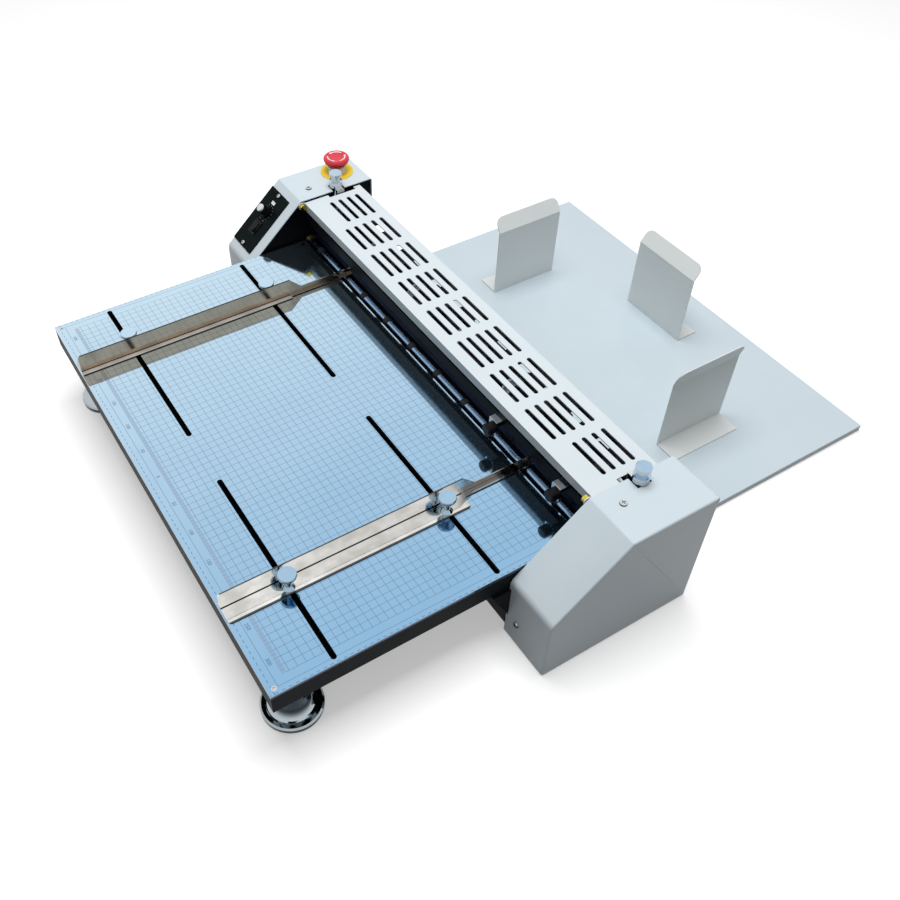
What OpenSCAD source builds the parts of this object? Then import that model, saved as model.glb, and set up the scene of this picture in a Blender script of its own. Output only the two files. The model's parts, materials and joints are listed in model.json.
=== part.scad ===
// Desktop paper creasing machine: a ruled feed table with two sliding paper guides, a roller
// beam between two end casings under a slotted hinged cover, and a delivery tray with stops.
// Millimetres. X runs along the beam, Y the way the sheet travels, Z up from the desk.
// The origin lies on the desk, midway between the table's front edge and the tray's back edge.

/* [Beam and casings] */
// Clear width between the two end casings
inner_w = 678.8; // [640:0.2:720]
// Width of one end casing
casing_w = 75; // [72:0.5:90]
// Height of the casing tops above the table
casing_rise = 67.7; // [66.5:0.1:80]
// Distance from the exit rollers' axes to the casings' back
casing_tail = 27.5; // [24:0.5:44]
// Drop from the table top to where the casing's slope starts
slope_drop = 17.1; // [12:0.1:24]
// How far back the slope reaches its top
slope_run = 97.5; // [90:0.5:104]
// Sheet thickness of the casings
casing_t = 1.2; // [0.8:0.1:1.5]
// Radius of the bend below the slope
low_bend_r = 14; // [6:0.5:18]
// Radius of the bend above the slope
high_bend_r = 5; // [3:0.5:8]
// Thickness of the side frame plates
frame_t = 12; // [10:0.5:13]

/* [Feed table] */
// Length of the feed table
table_len = 397; // [390:0.5:420]
// Height of the table top above the desk
table_h = 117.6; // [112:0.1:120]
// Thickness of the ruled board
board_t = 3; // [2:0.1:4]
// Height of the black pan under the board
pan_h = 28.6; // [20:0.1:32]
// Width of the clamp slots
slot_w = 7; // [6.6:0.1:8]
// Distance of a slot's inner end from the middle
slot_in = 43; // [30:1:60]
// Distance of a slot's outer end from the table's side
slot_margin = 5.5; // [5:0.1:12]
// Distance of the front slots from the front edge
slot_front = 77.8; // [60:0.1:90]
// Distance between the front and rear slots
slot_pitch = 208; // [190:0.5:212]
// Outer diameter of a table foot's flare
foot_d = 74; // [64:0.5:80]
// Diameter of a table foot's tube
foot_tube_d = 39; // [30:0.5:42]
// Distance of a foot's axis from the table's side
foot_side = 43.5; // [40:0.5:60]

/* [Paper guides] */
// Height of a guide's wall
guide_h = 27; // [22:0.5:32]
// Length of a guide's tall wall
guide_len = 314; // [300:0.5:330]
// Length of the low nose, with its slanted step
nose_len = 102; // [90:0.5:104]
// Height of the low nose
nose_h = 10; // [7:0.1:12]
// Width of the outer flange
flange_w = 24; // [20:0.5:28]
// Width of the inner lip
guide_lip_w = 8; // [5:0.1:10]
// Sheet thickness of the guides
guide_t = 1.2; // [1:0.1:1.5]
// Distance of the right guide's wall from the middle
right_guide_x = 214; // [150:0.5:230]
// Distance of the left guide's wall from the middle
left_guide_x = 228; // [150:0.5:235]
// Diameter of a clamp knob's disc
knob_d = 22; // [20:0.5:26]
// Height of a clamp knob's top above the table
knob_h = 26; // [24:0.5:32]

/* [Cover] */
// Depth of the cover from front to back
cover_len = 94.8; // [92:0.1:98]
// Drop of the cover's top below the casing tops
cover_drop = 3.3; // [2.5:0.1:5]
// Sheet thickness of the cover
cover_t = 1.5; // [1:0.1:2]
// Depth of the cover's folded front and end lips
cover_lip_h = 12.6; // [12.5:0.1:15]
// Groups of slots along the cover
slot_groups = 9; // [5:1:9]
// Rows of slots across the cover
slot_rows = 5; // [3:1:5]
// Length of one cover slot
vent_len = 58; // [40:0.5:62]
// Width of one cover slot
vent_w = 6; // [4:0.1:7]
// Distance between slot groups
group_pitch = 72.5; // [66:0.1:73]
// Distance between slot rows
row_pitch = 14.2; // [12:0.1:15]

/* [Rollers] */
// Diameter of the creasing wheels and anvil collars
tool_d = 36; // [34:0.1:37]
// Diameter of the exit wheels
exit_d = 19.6; // [18:0.1:20]
// Diameter of the feed roller's rings
ring_d = 12.8; // [12:0.1:13.4]
// Distance between the feed roller's rings
ring_pitch = 65; // [50:0.5:68]
// Diameter of the tool shafts
tool_shaft_d = 15; // [12:0.1:16]
// Distance between the creasing stations
station_pitch = 115; // [100:0.5:130]

/* [Controls] */
// Width of the control panel
panel_w = 55; // [50:0.5:56]
// Length of the control panel along the slope
panel_len = 99; // [94:0.5:102]
// Diameter of the stop button's head
stop_head_d = 40; // [34:0.5:42]
// Diameter of the yellow ring
stop_ring_d = 50; // [44:0.5:52]
// Diameter of the speed knob
speed_d = 19; // [15:0.5:21]
// Diameter of the pressure knobs
pressure_d = 19; // [18:0.5:23]

/* [Delivery tray] */
// Length of the tray
tray_len = 420; // [390:1:460]
// Width of the tray
tray_w = 666; // [630:1:672]
// Height of the tray above the desk
tray_h = 10; // [8:0.1:14]
// Distance from the table's rear edge to the tray
tray_gap = 110; // [108:0.5:116]
// Length of a paper stop
stop_len = 117; // [90:1:130]
// Height of a paper stop up to its bend
stop_h = 113; // [80:1:130]
// Width of a stop's foot
stop_foot_w = 37; // [24:0.5:40]
// Height of the tray's front flange
tray_flange_h = 30; // [20:1:60]
// Sheet thickness of the tray and stops
tray_t = 1.5; // [1:0.1:2]

/* [Hidden] */
$fn = 48;

// Clearances and cuts
run_gap = 0.05;
seat_gap = 0.3;
loose_gap = 1.4;
cut = 1;
bend_steps = 9;

// Places along the sheet's path
total_len = table_len + tray_gap + tray_len;
front_y = -total_len / 2;
table_back_y = front_y + table_len;
casing_front_y = table_back_y - slope_run;
tray_front_y = table_back_y + tray_gap;

// Casings and side frames
casing_h = table_h + casing_rise;
slope_low_h = table_h - slope_drop;
casing_low_z = 2;
back_bend_r = 3;
casing_in = inner_w / 2;
slope_a = atan2(casing_h - slope_low_h, slope_run);
frame_set = 3;
frame_in = casing_in + frame_set;
frame_out = frame_in + frame_t;
frame_low_z = 12;
rubber_foot_d = 22;
frame_inset = casing_t + seat_gap;

// Sheet plane and shafts
sheet_t = 0.6;
sheet_z = table_h + sheet_t;
nip_gap = 0.4;
feed_behind = 12;
feed_y = table_back_y + feed_behind;
ring_drop = 0.5;
feed_z = sheet_z - ring_drop - ring_d / 2;
feed_rod_d = 10.8;
feed_journal_d = 10;
ring_w = 9;
ring_count = 10;
ring_shift = 12.5;
tool_behind = 64.5;
tool_y = table_back_y + tool_behind;
lower_tool_z = sheet_z - tool_d / 2;
upper_tool_z = sheet_z + tool_d / 2;
exit_behind = 95;
exit_y = table_back_y + exit_behind;
casing_back_y = exit_y + casing_tail;
exit_axes = exit_d + nip_gap;
lower_exit_z = sheet_z - exit_axes / 2;
upper_exit_z = sheet_z + exit_axes / 2;
crease_hub_d = 26;
crease_hub_w = 14;
crease_ridge_w = 1.2;
groove_w = 3;
groove_depth = 2;
anvil_w = 20;
grip_w = 10;
exit_shaft_d = 10;
exit_wheel_w = 16;
exit_wheel_count = 8;

// Feed table
table_side_gap = 0.9;
table_w = inner_w - 2 * table_side_gap;
pan_t = 1.5;
pan_low_z = table_h - board_t - pan_h;
slot_out = table_w / 2 - slot_margin;
slot_span = slot_out - slot_in;
foot_set = foot_d / 2;
foot_wall = 2;
foot_flange_t = 3;
foot_flange_d = 62;
foot_rim_h = 9;
foot_flare_h = 24;
foot_lip_d = 61;
table_screw_set = 8;

// Guides
guide_lift = seat_gap;
guide_z = table_h + guide_lift;
guide_front = 1.5;
guide_corner_r = 5;
step_len = 18;
nose_flange_w = 8;
knob_wall_gap = 1.5;
knob_in = guide_t + seat_gap + knob_wall_gap + knob_d / 2;
nose_lift = 0.9;
stem_d = 6;
knob_disc_t = 4.5;
knob_neck_d = 8.5;
knob_base_d = 15;
knob_base_t = 4;
nut_w = 13;
nut_t = 5;
stem_tail = 2;

// Cover, hinge and rest pins
cover_w = inner_w - 2 * loose_gap;
cover_z = casing_h - cover_drop;
cover_behind = 5;
cover_y = table_back_y + cover_behind;
cover_back_lip_h = 8;
hinge_y = table_back_y;
hinge_drop = 3.8;
hinge_z = cover_z - hinge_drop;
hinge_pin_d = 6;
hinge_head_d = 9;
hinge_head_t = 4.7;
hinge_ear_r = 5.6;
notch_front = 39.8;
notch_back = 84;
notch_depth = 6.5;
rest_set = 5.6;
rest_y = cover_y + cover_len - rest_set;
rest_pin_d = 7;
rest_z = cover_z - cover_t - seat_gap - rest_pin_d / 2;
rest_pin_in = 9;
first_row = 20;

// Control panel, in the slope's own plane
panel_side = 18.6;
panel_x = -(casing_in + panel_side + panel_w / 2);
panel_low = 16.5;
panel_t = 1.5;
panel_screw_set = 5;
panel_window_w = 36;
panel_window_low = 20;
panel_window_len = 58;
speed_at = 80.6;
speed_h = 12;
speed_cap_d = 12;
speed_cap_h = 3;
pot_shaft_d = 6;
pot_d = 17;
pot_h = 12;
pot_washer_h = 1.2;
rocker_at = 52;
rocker_w = 13;
rocker_len = 19;
rocker_rim = 2;
rocker_rim_t = 1.6;
rocker_depth = 15;
rocker_play = 0.6;
rocker_pin_d = 1.5;
rocker_pin_len = rocker_w - seat_gap;
rocker_pivot = 2;
rocker_rise = 3.4;
rocker_tilt = 8;

// Stop button
stop_side = 44.6;
stop_behind = 86.2;
stop_x = -(casing_in + stop_side);
stop_y = table_back_y + stop_behind;
stop_ring_t = 1.5;
barrel_d = 22;
collar_d = 29;
collar_h = 10;
barrel_low = 20;
stem_top_d = 11;
stop_gap = 4.3;
stop_head_h = 11;
stop_lock_nut_d = 28;
stop_lock_nut_t = 4;
contacts_w = 28;
contacts_h = 22;

// Pressure knobs, brackets and blocks
press_x = frame_in + frame_t / 2;
press_stem_d = 8;
bracket_w = 12;
bracket_t = 1.5;
bracket_reach = 6.4;
bracket_in = casing_in - bracket_reach;
bracket_z = casing_h + seat_gap;
bracket_drop = 46;
block_w = 26;
block_low = 15;
block_high = 16;
block_out = 3;
press_collar_h = 8.4;
press_collar_d = pressure_d + 1;
press_neck_d = 13;
press_neck_h = 7;
press_head_h = 7;
press_head_chamfer = 1.2;
casing_notch_y = 20.5;
casing_notch_x = 17;
spring_d = 14;
spring_in_d = 10;

// Bushes, gears, pulleys and belts
bush_wall = 4;
gear_side = 4;
gear_x = frame_out + gear_side;
gear_w = 8;
tool_teeth = 24;
exit_teeth = 20;
gear_play = 0.3;
pulley_side = 2;
pulley_x = frame_out + pulley_side;
pulley_w = 9;
pulley_rim_t = 1.2;
pulley_rim_h = 1.2;
pulley_share = 0.85;
feed_pulley_r = pulley_share * ring_d / 2;
tool_pulley_r = pulley_share * tool_d / 2;
exit_pulley_r = pulley_share * exit_axes / 2;
belt_w = 7;
belt_t = 1.5;
second_pulley_x = pulley_x + pulley_w + 2 * pulley_rim_t + pulley_side;
motor_d = 62;
motor_len = 80;
motor_before = tool_d / 2 + motor_d / 2 + loose_gap;
motor_rise = 35;
motor_y = tool_y - motor_before;
motor_z = frame_low_z + motor_rise;
motor_pulley_r = tool_pulley_r;
motor_shaft_d = 8;
motor_hole_d = 16;
shaft_tail = 3;

// Hold-downs on the front bar
bar_behind = 7.5;
bar_rise = 28.4;
bar_y = table_back_y + bar_behind;
bar_t = 8;
bar_low_z = table_h + bar_rise;
bar_h = 16;
clip_t = 1.5;
clip_w = 15;
clip_reach = 13;
left_hold_x = 169;
right_hold_x = 293;
thumb_d = 16;
thumb_len = 10.5;
thumb_stem_d = 5;
thumb_rise = 5;
thumb_z = bar_low_z + thumb_rise;
finger_knee = [10, 13.5];
finger_tip = [16, 4];
rear_bar_d = 12;
rear_bar_behind = 11;
rear_bar_y = exit_y + rear_bar_behind;
guard_t = 1.5;
guard_rise = 27;
guard_fore = 22;
guard_aft = 19;
guard_z = upper_exit_z + guard_rise;
guard_front = exit_y - guard_fore;
guard_back = exit_y + guard_aft;
guard_drop = 20;
guard_window_w = 20;
guard_window_len = 18;
guard_window_pitch = 52;
guard_window_count = 13;
guard_window_shift = 3;
guard_window_before = 2;

// Tray stops
left_stop_x = 187.5;
right_stop_x = 209;
end_stop_from_tray = 323;
left_stop_from_tray = 151.5;
right_stop_from_tray = 147;
end_stop_y = tray_front_y + end_stop_from_tray;
left_stop_y = tray_front_y + left_stop_from_tray;
right_stop_y = tray_front_y + right_stop_from_tray;
stop_lip = 24;
stop_lip_a = 33;
right_stop_lip_a = 15;
stop_lip_r = 12;

screw_head_d = 9;
screw_head_t = 2.2;
screw_d = 4;
screw_len = 8;
small_head_d = 6.5;
small_head_t = 1.6;
small_screw_d = 3;
lug_w = 14;
lug_reach = 17;
top_screw_side = 10.3;
top_screw_behind = 26.2;
low_screw_side = 4.8;
top_screw_x = frame_out + top_screw_side;
top_screw_y = table_back_y + top_screw_behind;
low_screw_x = frame_out + low_screw_side;
low_screw_z = 37;
rear_screw_z = 130;
gusset_t = 6;
gusset_low_z = 37;
gusset_edge = 2;
gusset_mid_z = pan_low_z - gusset_edge;
gusset_fore = 26.4;
gusset_aft = 80;
base_t = 2;
bridge_drop = 14.6;
base_front_h = 46;
base_back_h = 60;
inlet_w = 28;
inlet_h = 20;
inlet_z = 60;
inlet_rim_t = 2;
inlet_depth = 22;
inlet_pin_w = 2;
inlet_pin_h = 4;
inlet_pin_gap = 7;
board_behind = 22;
board_y = casing_front_y + board_behind;
board_z = 24;
board_w = 62;
board_h = 46;
board_sheet_t = 1.6;
board_off = 8;
board_part = 14;

paint = [0.88, 0.91, 0.93];
black_paint = [0.09, 0.10, 0.12];
nickel = [0.78, 0.79, 0.80];
steel = [0.66, 0.68, 0.70];
black_rubber = [0.07, 0.07, 0.08];

function unit(v) = v / norm(v);

// Points of an arc of radius r that rounds the corner b of the path a, b, c
function round_corner(a, b, c, r, n = bend_steps) =
    let (
        u = unit(a - b),
        w = unit(c - b),
        half = acos(u * w) / 2,
        centre = b + unit(u + w) * r / sin(half),
        start = b + u * r / tan(half) - centre,
        stop = b + w * r / tan(half) - centre,
        from = atan2(start.y, start.x),
        turn = (atan2(stop.y, stop.x) - from + 540) % 360 - 180
    )
    [for (i = [0 : n]) centre + r * [cos(from + turn * i / n), sin(from + turn * i / n)]];

// Side outline of a casing, moved inwards by d, down to the height low
function casing_outline(d, low) =
    let (
        front = casing_front_y + d,
        back = casing_back_y - d,
        top = casing_h - d,
        rise = tan(slope_a),
        lean = d / cos(slope_a),
        a = [front, low],
        b = [front, slope_low_h + d * rise - lean],
        c = [casing_front_y + (top - slope_low_h + lean) / rise, top],
        e = [back, top],
        f = [back, low]
    )
    concat(
        [a],
        round_corner(a, b, c, low_bend_r - d),
        round_corner(b, c, e, high_bend_r - d),
        round_corner(c, e, f, back_bend_r - d),
        [f]
    );

// Outline of a spur gear with straight-sided teeth, a tooth pointing along the first axis
function gear_outline(teeth, pitch_r) =
    let (
        size = 2 * pitch_r / teeth,
        tip_r = pitch_r + size * 0.88,
        root_r = pitch_r - size * 1.2,
        half = PI * size / 4 - gear_play / 2,
        tip_a = (half - tan(20) * (tip_r - pitch_r)) / tip_r * 180 / PI,
        root_a = (half + tan(20) * (pitch_r - root_r)) / root_r * 180 / PI
    )
    [for (i = [0 : teeth - 1], k = [[-root_a, root_r], [-tip_a, tip_r], [tip_a, tip_r], [root_a, root_r]])
        k[1] * [cos(i * 360 / teeth + k[0]), sin(i * 360 / teeth + k[0])]];

// Angle of the outer tangent from one circle [y, z, r] to the next, going round them to the left
function tangent_a(p, q) =
    atan2(q[1] - p[1], q[0] - p[0]) - 90 + asin((p[2] - q[2]) / norm([q[0] - p[0], q[1] - p[1]]));

// Middle of exit wheel number i
function exit_wheel_x(i) = (i - (exit_wheel_count - 1) / 2) * group_pitch;

// Closed path round a ring of circles [y, z, r], at a distance off from them
function belt_path(rings, off, n = 16) =
    [for (i = [0 : len(rings) - 1])
        let (
            p = rings[i],
            before = tangent_a(rings[(i + len(rings) - 1) % len(rings)], p),
            after = tangent_a(p, rings[(i + 1) % len(rings)]),
            turn = (after - before + 720) % 360
        )
        for (k = [0 : n])
            let (a = before + turn * k / n)
            [p[0], p[1]] + (p[2] + off) * [cos(a), sin(a)]];

// A flat outline in Y and Z, made thick along X from x
module along_x(x, thick) {
    translate([x, 0, 0]) rotate([90, 0, 90]) linear_extrude(thick) children();
}

module rod_x(x, length, y, z, d) {
    translate([x, y, z]) rotate([0, 90, 0]) cylinder(h = length, d = d);
}

module rod_y(x, y, length, z, d) {
    translate([x, y, z]) rotate([-90, 0, 0]) cylinder(h = length, d = d);
}

module rod_z(x, y, z, height, d) {
    translate([x, y, z]) cylinder(h = height, d = d);
}

module box(x, y, z, size_x, size_y, size_z) {
    translate([x, y, z]) cube([size_x, size_y, size_z]);
}

// A slot with round ends, from x to x + length
module slot_flat(x, y, length, width) {
    translate([x + width / 2, y - width / 2]) square([length - width, width]);
    translate([x + width / 2, y]) circle(d = width);
    translate([x + length - width / 2, y]) circle(d = width);
}

module mirrored(side) {
    if (side > 0) children();
    else mirror([1, 0, 0]) children();
}

module both_sides() {
    children();
    mirror([1, 0, 0]) children();
}

// Places children in the plane of the slope: Y up the slope, Z square to it
module on_slope() {
    translate([0, casing_front_y, slope_low_h]) rotate([slope_a, 0, 0]) children();
}

module side_frame(side) {
    tool_bush_d = tool_shaft_d + 2 * bush_wall;
    exit_bush_d = exit_shaft_d + 2 * bush_wall;
    feed_bush_d = feed_journal_d + 2 * bush_wall;
    color(black_paint) mirrored(side) {
        difference() {
            union() {
                along_x(frame_in, frame_t) polygon(casing_outline(frame_inset, frame_low_z));
                box(frame_out, top_screw_y - lug_w / 2, casing_h - casing_t - lug_w,
                    lug_reach, lug_w, lug_w);
                box(frame_out, casing_front_y + casing_t, low_screw_z - lug_w / 2,
                    lug_w, lug_w, lug_w);
                box(frame_out, casing_back_y - casing_t - lug_w, rear_screw_z - lug_w / 2,
                    lug_w, lug_w, lug_w);
                along_x(frame_in - gusset_t, gusset_t) polygon([
                    [casing_front_y + frame_inset, gusset_low_z],
                    [casing_front_y - gusset_fore + frame_inset, gusset_mid_z],
                    [casing_front_y - gusset_fore + frame_inset, pan_low_z],
                    [casing_front_y + gusset_aft, pan_low_z],
                    [casing_front_y + gusset_aft, gusset_mid_z],
                    [casing_front_y + gusset_aft / 2, gusset_low_z]
                ]);
            }
            rod_x(frame_in - cut, frame_t + 2 * cut, feed_y, feed_z, feed_bush_d + 2 * run_gap);
            rod_x(frame_in - cut, frame_t + 2 * cut, tool_y, lower_tool_z, tool_bush_d + 2 * run_gap);
            for (z = [lower_exit_z, upper_exit_z])
                rod_x(frame_in - cut, frame_t + 2 * cut, exit_y, z, exit_bush_d + 2 * run_gap);
            box(frame_in - cut, tool_y - block_w / 2 - run_gap, upper_tool_z - block_low - run_gap,
                frame_t + 2 * cut, block_w + 2 * run_gap, casing_h);
            rod_x(frame_in - cut, frame_t + 2 * cut, hinge_y, hinge_z, hinge_pin_d + 2 * run_gap);
            rod_x(frame_in - cut, frame_t + 2 * cut, rest_y, rest_z, rest_pin_d + 2 * run_gap);
            rod_z(top_screw_x, top_screw_y, casing_h - lug_w, lug_w, screw_d + 2 * run_gap);
            rod_y(low_screw_x, casing_front_y, lug_w, low_screw_z, screw_d + 2 * run_gap);
            rod_y(low_screw_x, casing_back_y - lug_w, lug_w, rear_screw_z, screw_d + 2 * run_gap);
            if (side < 0)
                rod_x(frame_in - cut, frame_t + 2 * cut, motor_y, motor_z, motor_hole_d);
        }
    }
}

module base_pan() {
    half = frame_in;
    front = casing_front_y + frame_inset;
    back = tray_front_y;
    color(black_paint) {
        box(-half, front, frame_low_z, 2 * half, back - front, base_t);
        box(-half + gusset_t, front, frame_low_z, 2 * (half - gusset_t), base_t, base_front_h);
        box(-half, back - base_t, frame_low_z, 2 * half, base_t, base_back_h);
    }
}

module casing(side) {
    color(paint) mirrored(side) {
        difference() {
            along_x(casing_in, casing_w) polygon(casing_outline(0, casing_low_z));
            along_x(casing_in - cut, casing_w - casing_t + cut)
                polygon(casing_outline(casing_t, casing_low_z - cut));
            box(casing_in - cut, tool_y - casing_notch_y / 2, casing_h - low_bend_r,
                casing_notch_x + cut, casing_notch_y, low_bend_r + cut);
            box(casing_in - cut, casing_front_y - cut, gusset_low_z - seat_gap,
                frame_set + seat_gap + cut, casing_t + 2 * cut, pan_low_z - gusset_low_z + 2 * seat_gap);
            rod_z(top_screw_x, top_screw_y, casing_h - cut - casing_t, casing_t + 2 * cut,
                screw_d + 2 * run_gap);
            rod_y(low_screw_x, casing_front_y - cut, casing_t + 2 * cut, low_screw_z,
                screw_d + 2 * run_gap);
            rod_y(low_screw_x, casing_back_y - casing_t - cut, casing_t + 2 * cut, rear_screw_z,
                screw_d + 2 * run_gap);
            if (side < 0) {
                rod_z(-stop_x, stop_y, casing_h - casing_t - cut, casing_t + 2 * cut,
                    barrel_d + 2 * run_gap);
                on_slope()
                    translate([-panel_x - panel_window_w / 2, panel_low + panel_window_low, -casing_t - cut])
                    cube([panel_window_w, panel_window_len, casing_t + 2 * cut]);
                box(-stop_x - inlet_w / 2, casing_back_y - casing_t - cut, inlet_z - inlet_h / 2,
                    inlet_w, casing_t + 2 * cut, inlet_h);
            }
        }
    }
}

module pan_screw(head_d, head_t, shank_d, length) {
    cylinder(h = head_t, d1 = head_d, d2 = head_d * 0.7);
    translate([0, 0, -length]) cylinder(h = length, d = shank_d);
}

// A countersunk screw whose top is flush with z = 0
module flat_screw(head_d, shank_d, length) {
    sink = (head_d - shank_d) / 2;
    translate([0, 0, -sink]) cylinder(h = sink, d1 = shank_d, d2 = head_d);
    translate([0, 0, -length]) cylinder(h = length - sink, d = shank_d);
}

// The hole that a flat_screw sits in
module sunk_hole(head_d, shank_d, length) {
    sink = (head_d - shank_d) / 2;
    wide = 2 * run_gap;
    translate([0, 0, -sink]) cylinder(h = sink + cut, d1 = shank_d + wide, d2 = head_d + wide + 2 * cut);
    translate([0, 0, -length - cut]) cylinder(h = length + 2 * cut, d = shank_d + wide);
}

module screws() {
    color(nickel) {
        both_sides() {
            translate([top_screw_x, top_screw_y, casing_h])
                pan_screw(screw_head_d, screw_head_t, screw_d, screw_len);
            translate([low_screw_x, casing_front_y, low_screw_z]) rotate([90, 0, 0])
                pan_screw(screw_head_d, screw_head_t, screw_d, screw_len);
            translate([low_screw_x, casing_back_y, rear_screw_z]) rotate([-90, 0, 0])
                pan_screw(screw_head_d, screw_head_t, screw_d, screw_len);
            for (y = [front_y + table_screw_set, table_back_y - table_screw_set])
                translate([table_w / 2 - table_screw_set, y, table_h])
                    flat_screw(small_head_d, small_screw_d, board_t);
        }
        for (s = [panel_screw_set, panel_len - panel_screw_set])
            on_slope() translate([panel_x, panel_low + s, panel_t])
                pan_screw(small_head_d, small_head_t, small_screw_d, panel_t);
    }
}

module tie_bars() {
    color(black_paint) {
        box(-frame_in, bar_y, bar_low_z, 2 * frame_in, bar_t, bar_h);
        rod_x(-frame_in, 2 * frame_in, rear_bar_y, guard_z - guard_t - rear_bar_d / 2, rear_bar_d);
    }
}

module clamp_slots() {
    for (y = [slot_front, slot_front + slot_pitch], s = [-1, 1])
        slot_flat(s < 0 ? -slot_out : slot_in, front_y + y, slot_span, slot_w);
}

module table_board() {
    color([0.66, 0.80, 0.90]) difference() {
        box(-table_w / 2, front_y, table_h - board_t, table_w, table_len, board_t);
        translate([0, 0, table_h - board_t - cut]) linear_extrude(board_t + 2 * cut) clamp_slots();
        both_sides() for (y = [front_y + table_screw_set, table_back_y - table_screw_set])
            translate([table_w / 2 - table_screw_set, y, table_h])
                sunk_hole(small_head_d, small_screw_d, board_t);
    }
}

// A closed shallow box under the board; the clamp nuts slide inside it
module table_pan() {
    top = table_h - board_t;
    color(black_paint) difference() {
        box(-table_w / 2, front_y, pan_low_z, table_w, table_len, pan_h);
        box(-table_w / 2 + pan_t, front_y + pan_t, pan_low_z + pan_t,
            table_w - 2 * pan_t, table_len - 2 * pan_t, pan_h - 2 * pan_t);
        translate([0, 0, top - pan_t - cut]) linear_extrude(pan_t + 2 * cut) clamp_slots();
    }
}

// One chrome foot: a flange, a tube and a flared bell with a rolled rim
module table_foot() {
    tube_r = foot_tube_d / 2;
    flare_r = foot_d / 2;
    lip_r = foot_lip_d / 2;
    top = pan_low_z;
    rotate_extrude($fn = 96) polygon(concat(
        [[0, 0], [flare_r - foot_wall, 0], [flare_r, foot_wall], [flare_r, foot_rim_h - foot_wall],
            [flare_r - foot_wall, foot_rim_h], [lip_r, foot_rim_h]],
        [for (i = [0 : bend_steps]) let (a = 90 * i / bend_steps)
            [lip_r - (lip_r - tube_r) * sin(a), foot_rim_h + (foot_flare_h - foot_rim_h) * (1 - cos(a))]],
        [[tube_r, top - foot_flange_t], [foot_flange_d / 2, top - foot_flange_t],
            [foot_flange_d / 2, top], [0, top]]
    ));
}

module table_feet() {
    color([0.82, 0.83, 0.84]) both_sides()
        translate([table_w / 2 - foot_side, front_y + foot_set, 0]) table_foot();
}

module rubber_feet() {
    color(black_rubber) both_sides()
        for (y = [casing_front_y + rubber_foot_d, casing_back_y - rubber_foot_d])
            rod_z(frame_in + frame_t / 2, y, 0, frame_low_z, rubber_foot_d);
}

module control_panel() {
    color([0.14, 0.21, 0.23]) on_slope() difference() {
        translate([panel_x - panel_w / 2, panel_low, 0]) cube([panel_w, panel_len, panel_t]);
        rod_z(panel_x, speed_at, -cut, panel_t + 2 * cut, pot_shaft_d + 2 * run_gap + rocker_play);
        translate([panel_x - rocker_w / 2, rocker_at - rocker_len / 2, -cut])
            cube([rocker_w, rocker_len, panel_t + 2 * cut]);
        for (s = [panel_screw_set, panel_len - panel_screw_set])
            rod_z(panel_x, panel_low + s, -cut, panel_t + 2 * cut, small_screw_d + 2 * run_gap);
    }
}

module speed_pot() {
    color(steel) on_slope() {
        rod_z(panel_x, speed_at, -pot_h, pot_h, pot_d);
        rod_z(panel_x, speed_at, 0, panel_t + pot_washer_h, pot_shaft_d);
    }
}

module rocker_frame() {
    color([0.06, 0.06, 0.07]) on_slope() difference() {
        union() {
            translate([panel_x - rocker_w / 2 - rocker_rim, rocker_at - rocker_len / 2 - rocker_rim, panel_t])
                cube([rocker_w + 2 * rocker_rim, rocker_len + 2 * rocker_rim, rocker_rim_t]);
            translate([panel_x - rocker_w / 2, rocker_at - rocker_len / 2, -rocker_depth])
                cube([rocker_w, rocker_len, rocker_depth + panel_t + cut]);
        }
        translate([panel_x - rocker_w / 2 + rocker_rim / 2, rocker_at - rocker_len / 2 + rocker_rim / 2,
            -rocker_depth + rocker_rim])
            cube([rocker_w - rocker_rim, rocker_len - rocker_rim, rocker_depth + panel_t + rocker_rim_t]);
        rod_x(panel_x - rocker_pin_len / 2 - seat_gap, rocker_pin_len + 2 * seat_gap, rocker_at, rocker_pivot,
            rocker_pin_d + 2 * run_gap);
    }
}

// The rocker's side outline is two faces that meet over the pivot
module rocker() {
    half = rocker_len / 2 - rocker_rim / 2 - rocker_play;
    width = rocker_w - rocker_rim - 2 * rocker_play;
    color([0.05, 0.05, 0.06]) on_slope() {
        translate([panel_x - width / 2, rocker_at, rocker_pivot])
            rotate([-rocker_tilt, 0, 0]) rotate([90, 0, 90]) linear_extrude(width) polygon([
                [-half, 0], [-half, rocker_rise], [0, rocker_rise - rocker_pivot / 2],
                [half, rocker_rise], [half, 0], [0, -rocker_rise]
            ]);
        rod_x(panel_x - rocker_pin_len / 2, rocker_pin_len, rocker_at, rocker_pivot, rocker_pin_d);
    }
}

module stop_ring() {
    color([0.95, 0.76, 0.09]) translate([stop_x, stop_y, casing_h]) difference() {
        cylinder(h = stop_ring_t, d = stop_ring_d, $fn = 96);
        translate([0, 0, -cut]) cylinder(h = stop_ring_t + 2 * cut, d = barrel_d + 2 * run_gap);
    }
}

module stop_collar() {
    low = casing_h - barrel_low;
    color([0.80, 0.82, 0.84]) translate([stop_x, stop_y, 0]) difference() {
        union() {
            translate([0, 0, low]) cylinder(h = barrel_low + stop_ring_t + collar_h, d = barrel_d);
            translate([0, 0, casing_h + stop_ring_t])
                cylinder(h = collar_h, d1 = collar_d, d2 = collar_d * 0.93);
            translate([0, 0, casing_h - casing_t - stop_lock_nut_t])
                cylinder(h = stop_lock_nut_t, d = stop_lock_nut_d, $fn = 6);
        }
        translate([0, 0, low - cut])
            cylinder(h = barrel_low + stop_ring_t + collar_h + 2 * cut, d = stem_top_d + 2 * run_gap);
    }
}

module stop_contacts() {
    color([0.18, 0.28, 0.55])
        box(stop_x - contacts_w / 2, stop_y - contacts_w / 2, casing_h - barrel_low - contacts_h,
            contacts_w, contacts_w, contacts_h);
}

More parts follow.
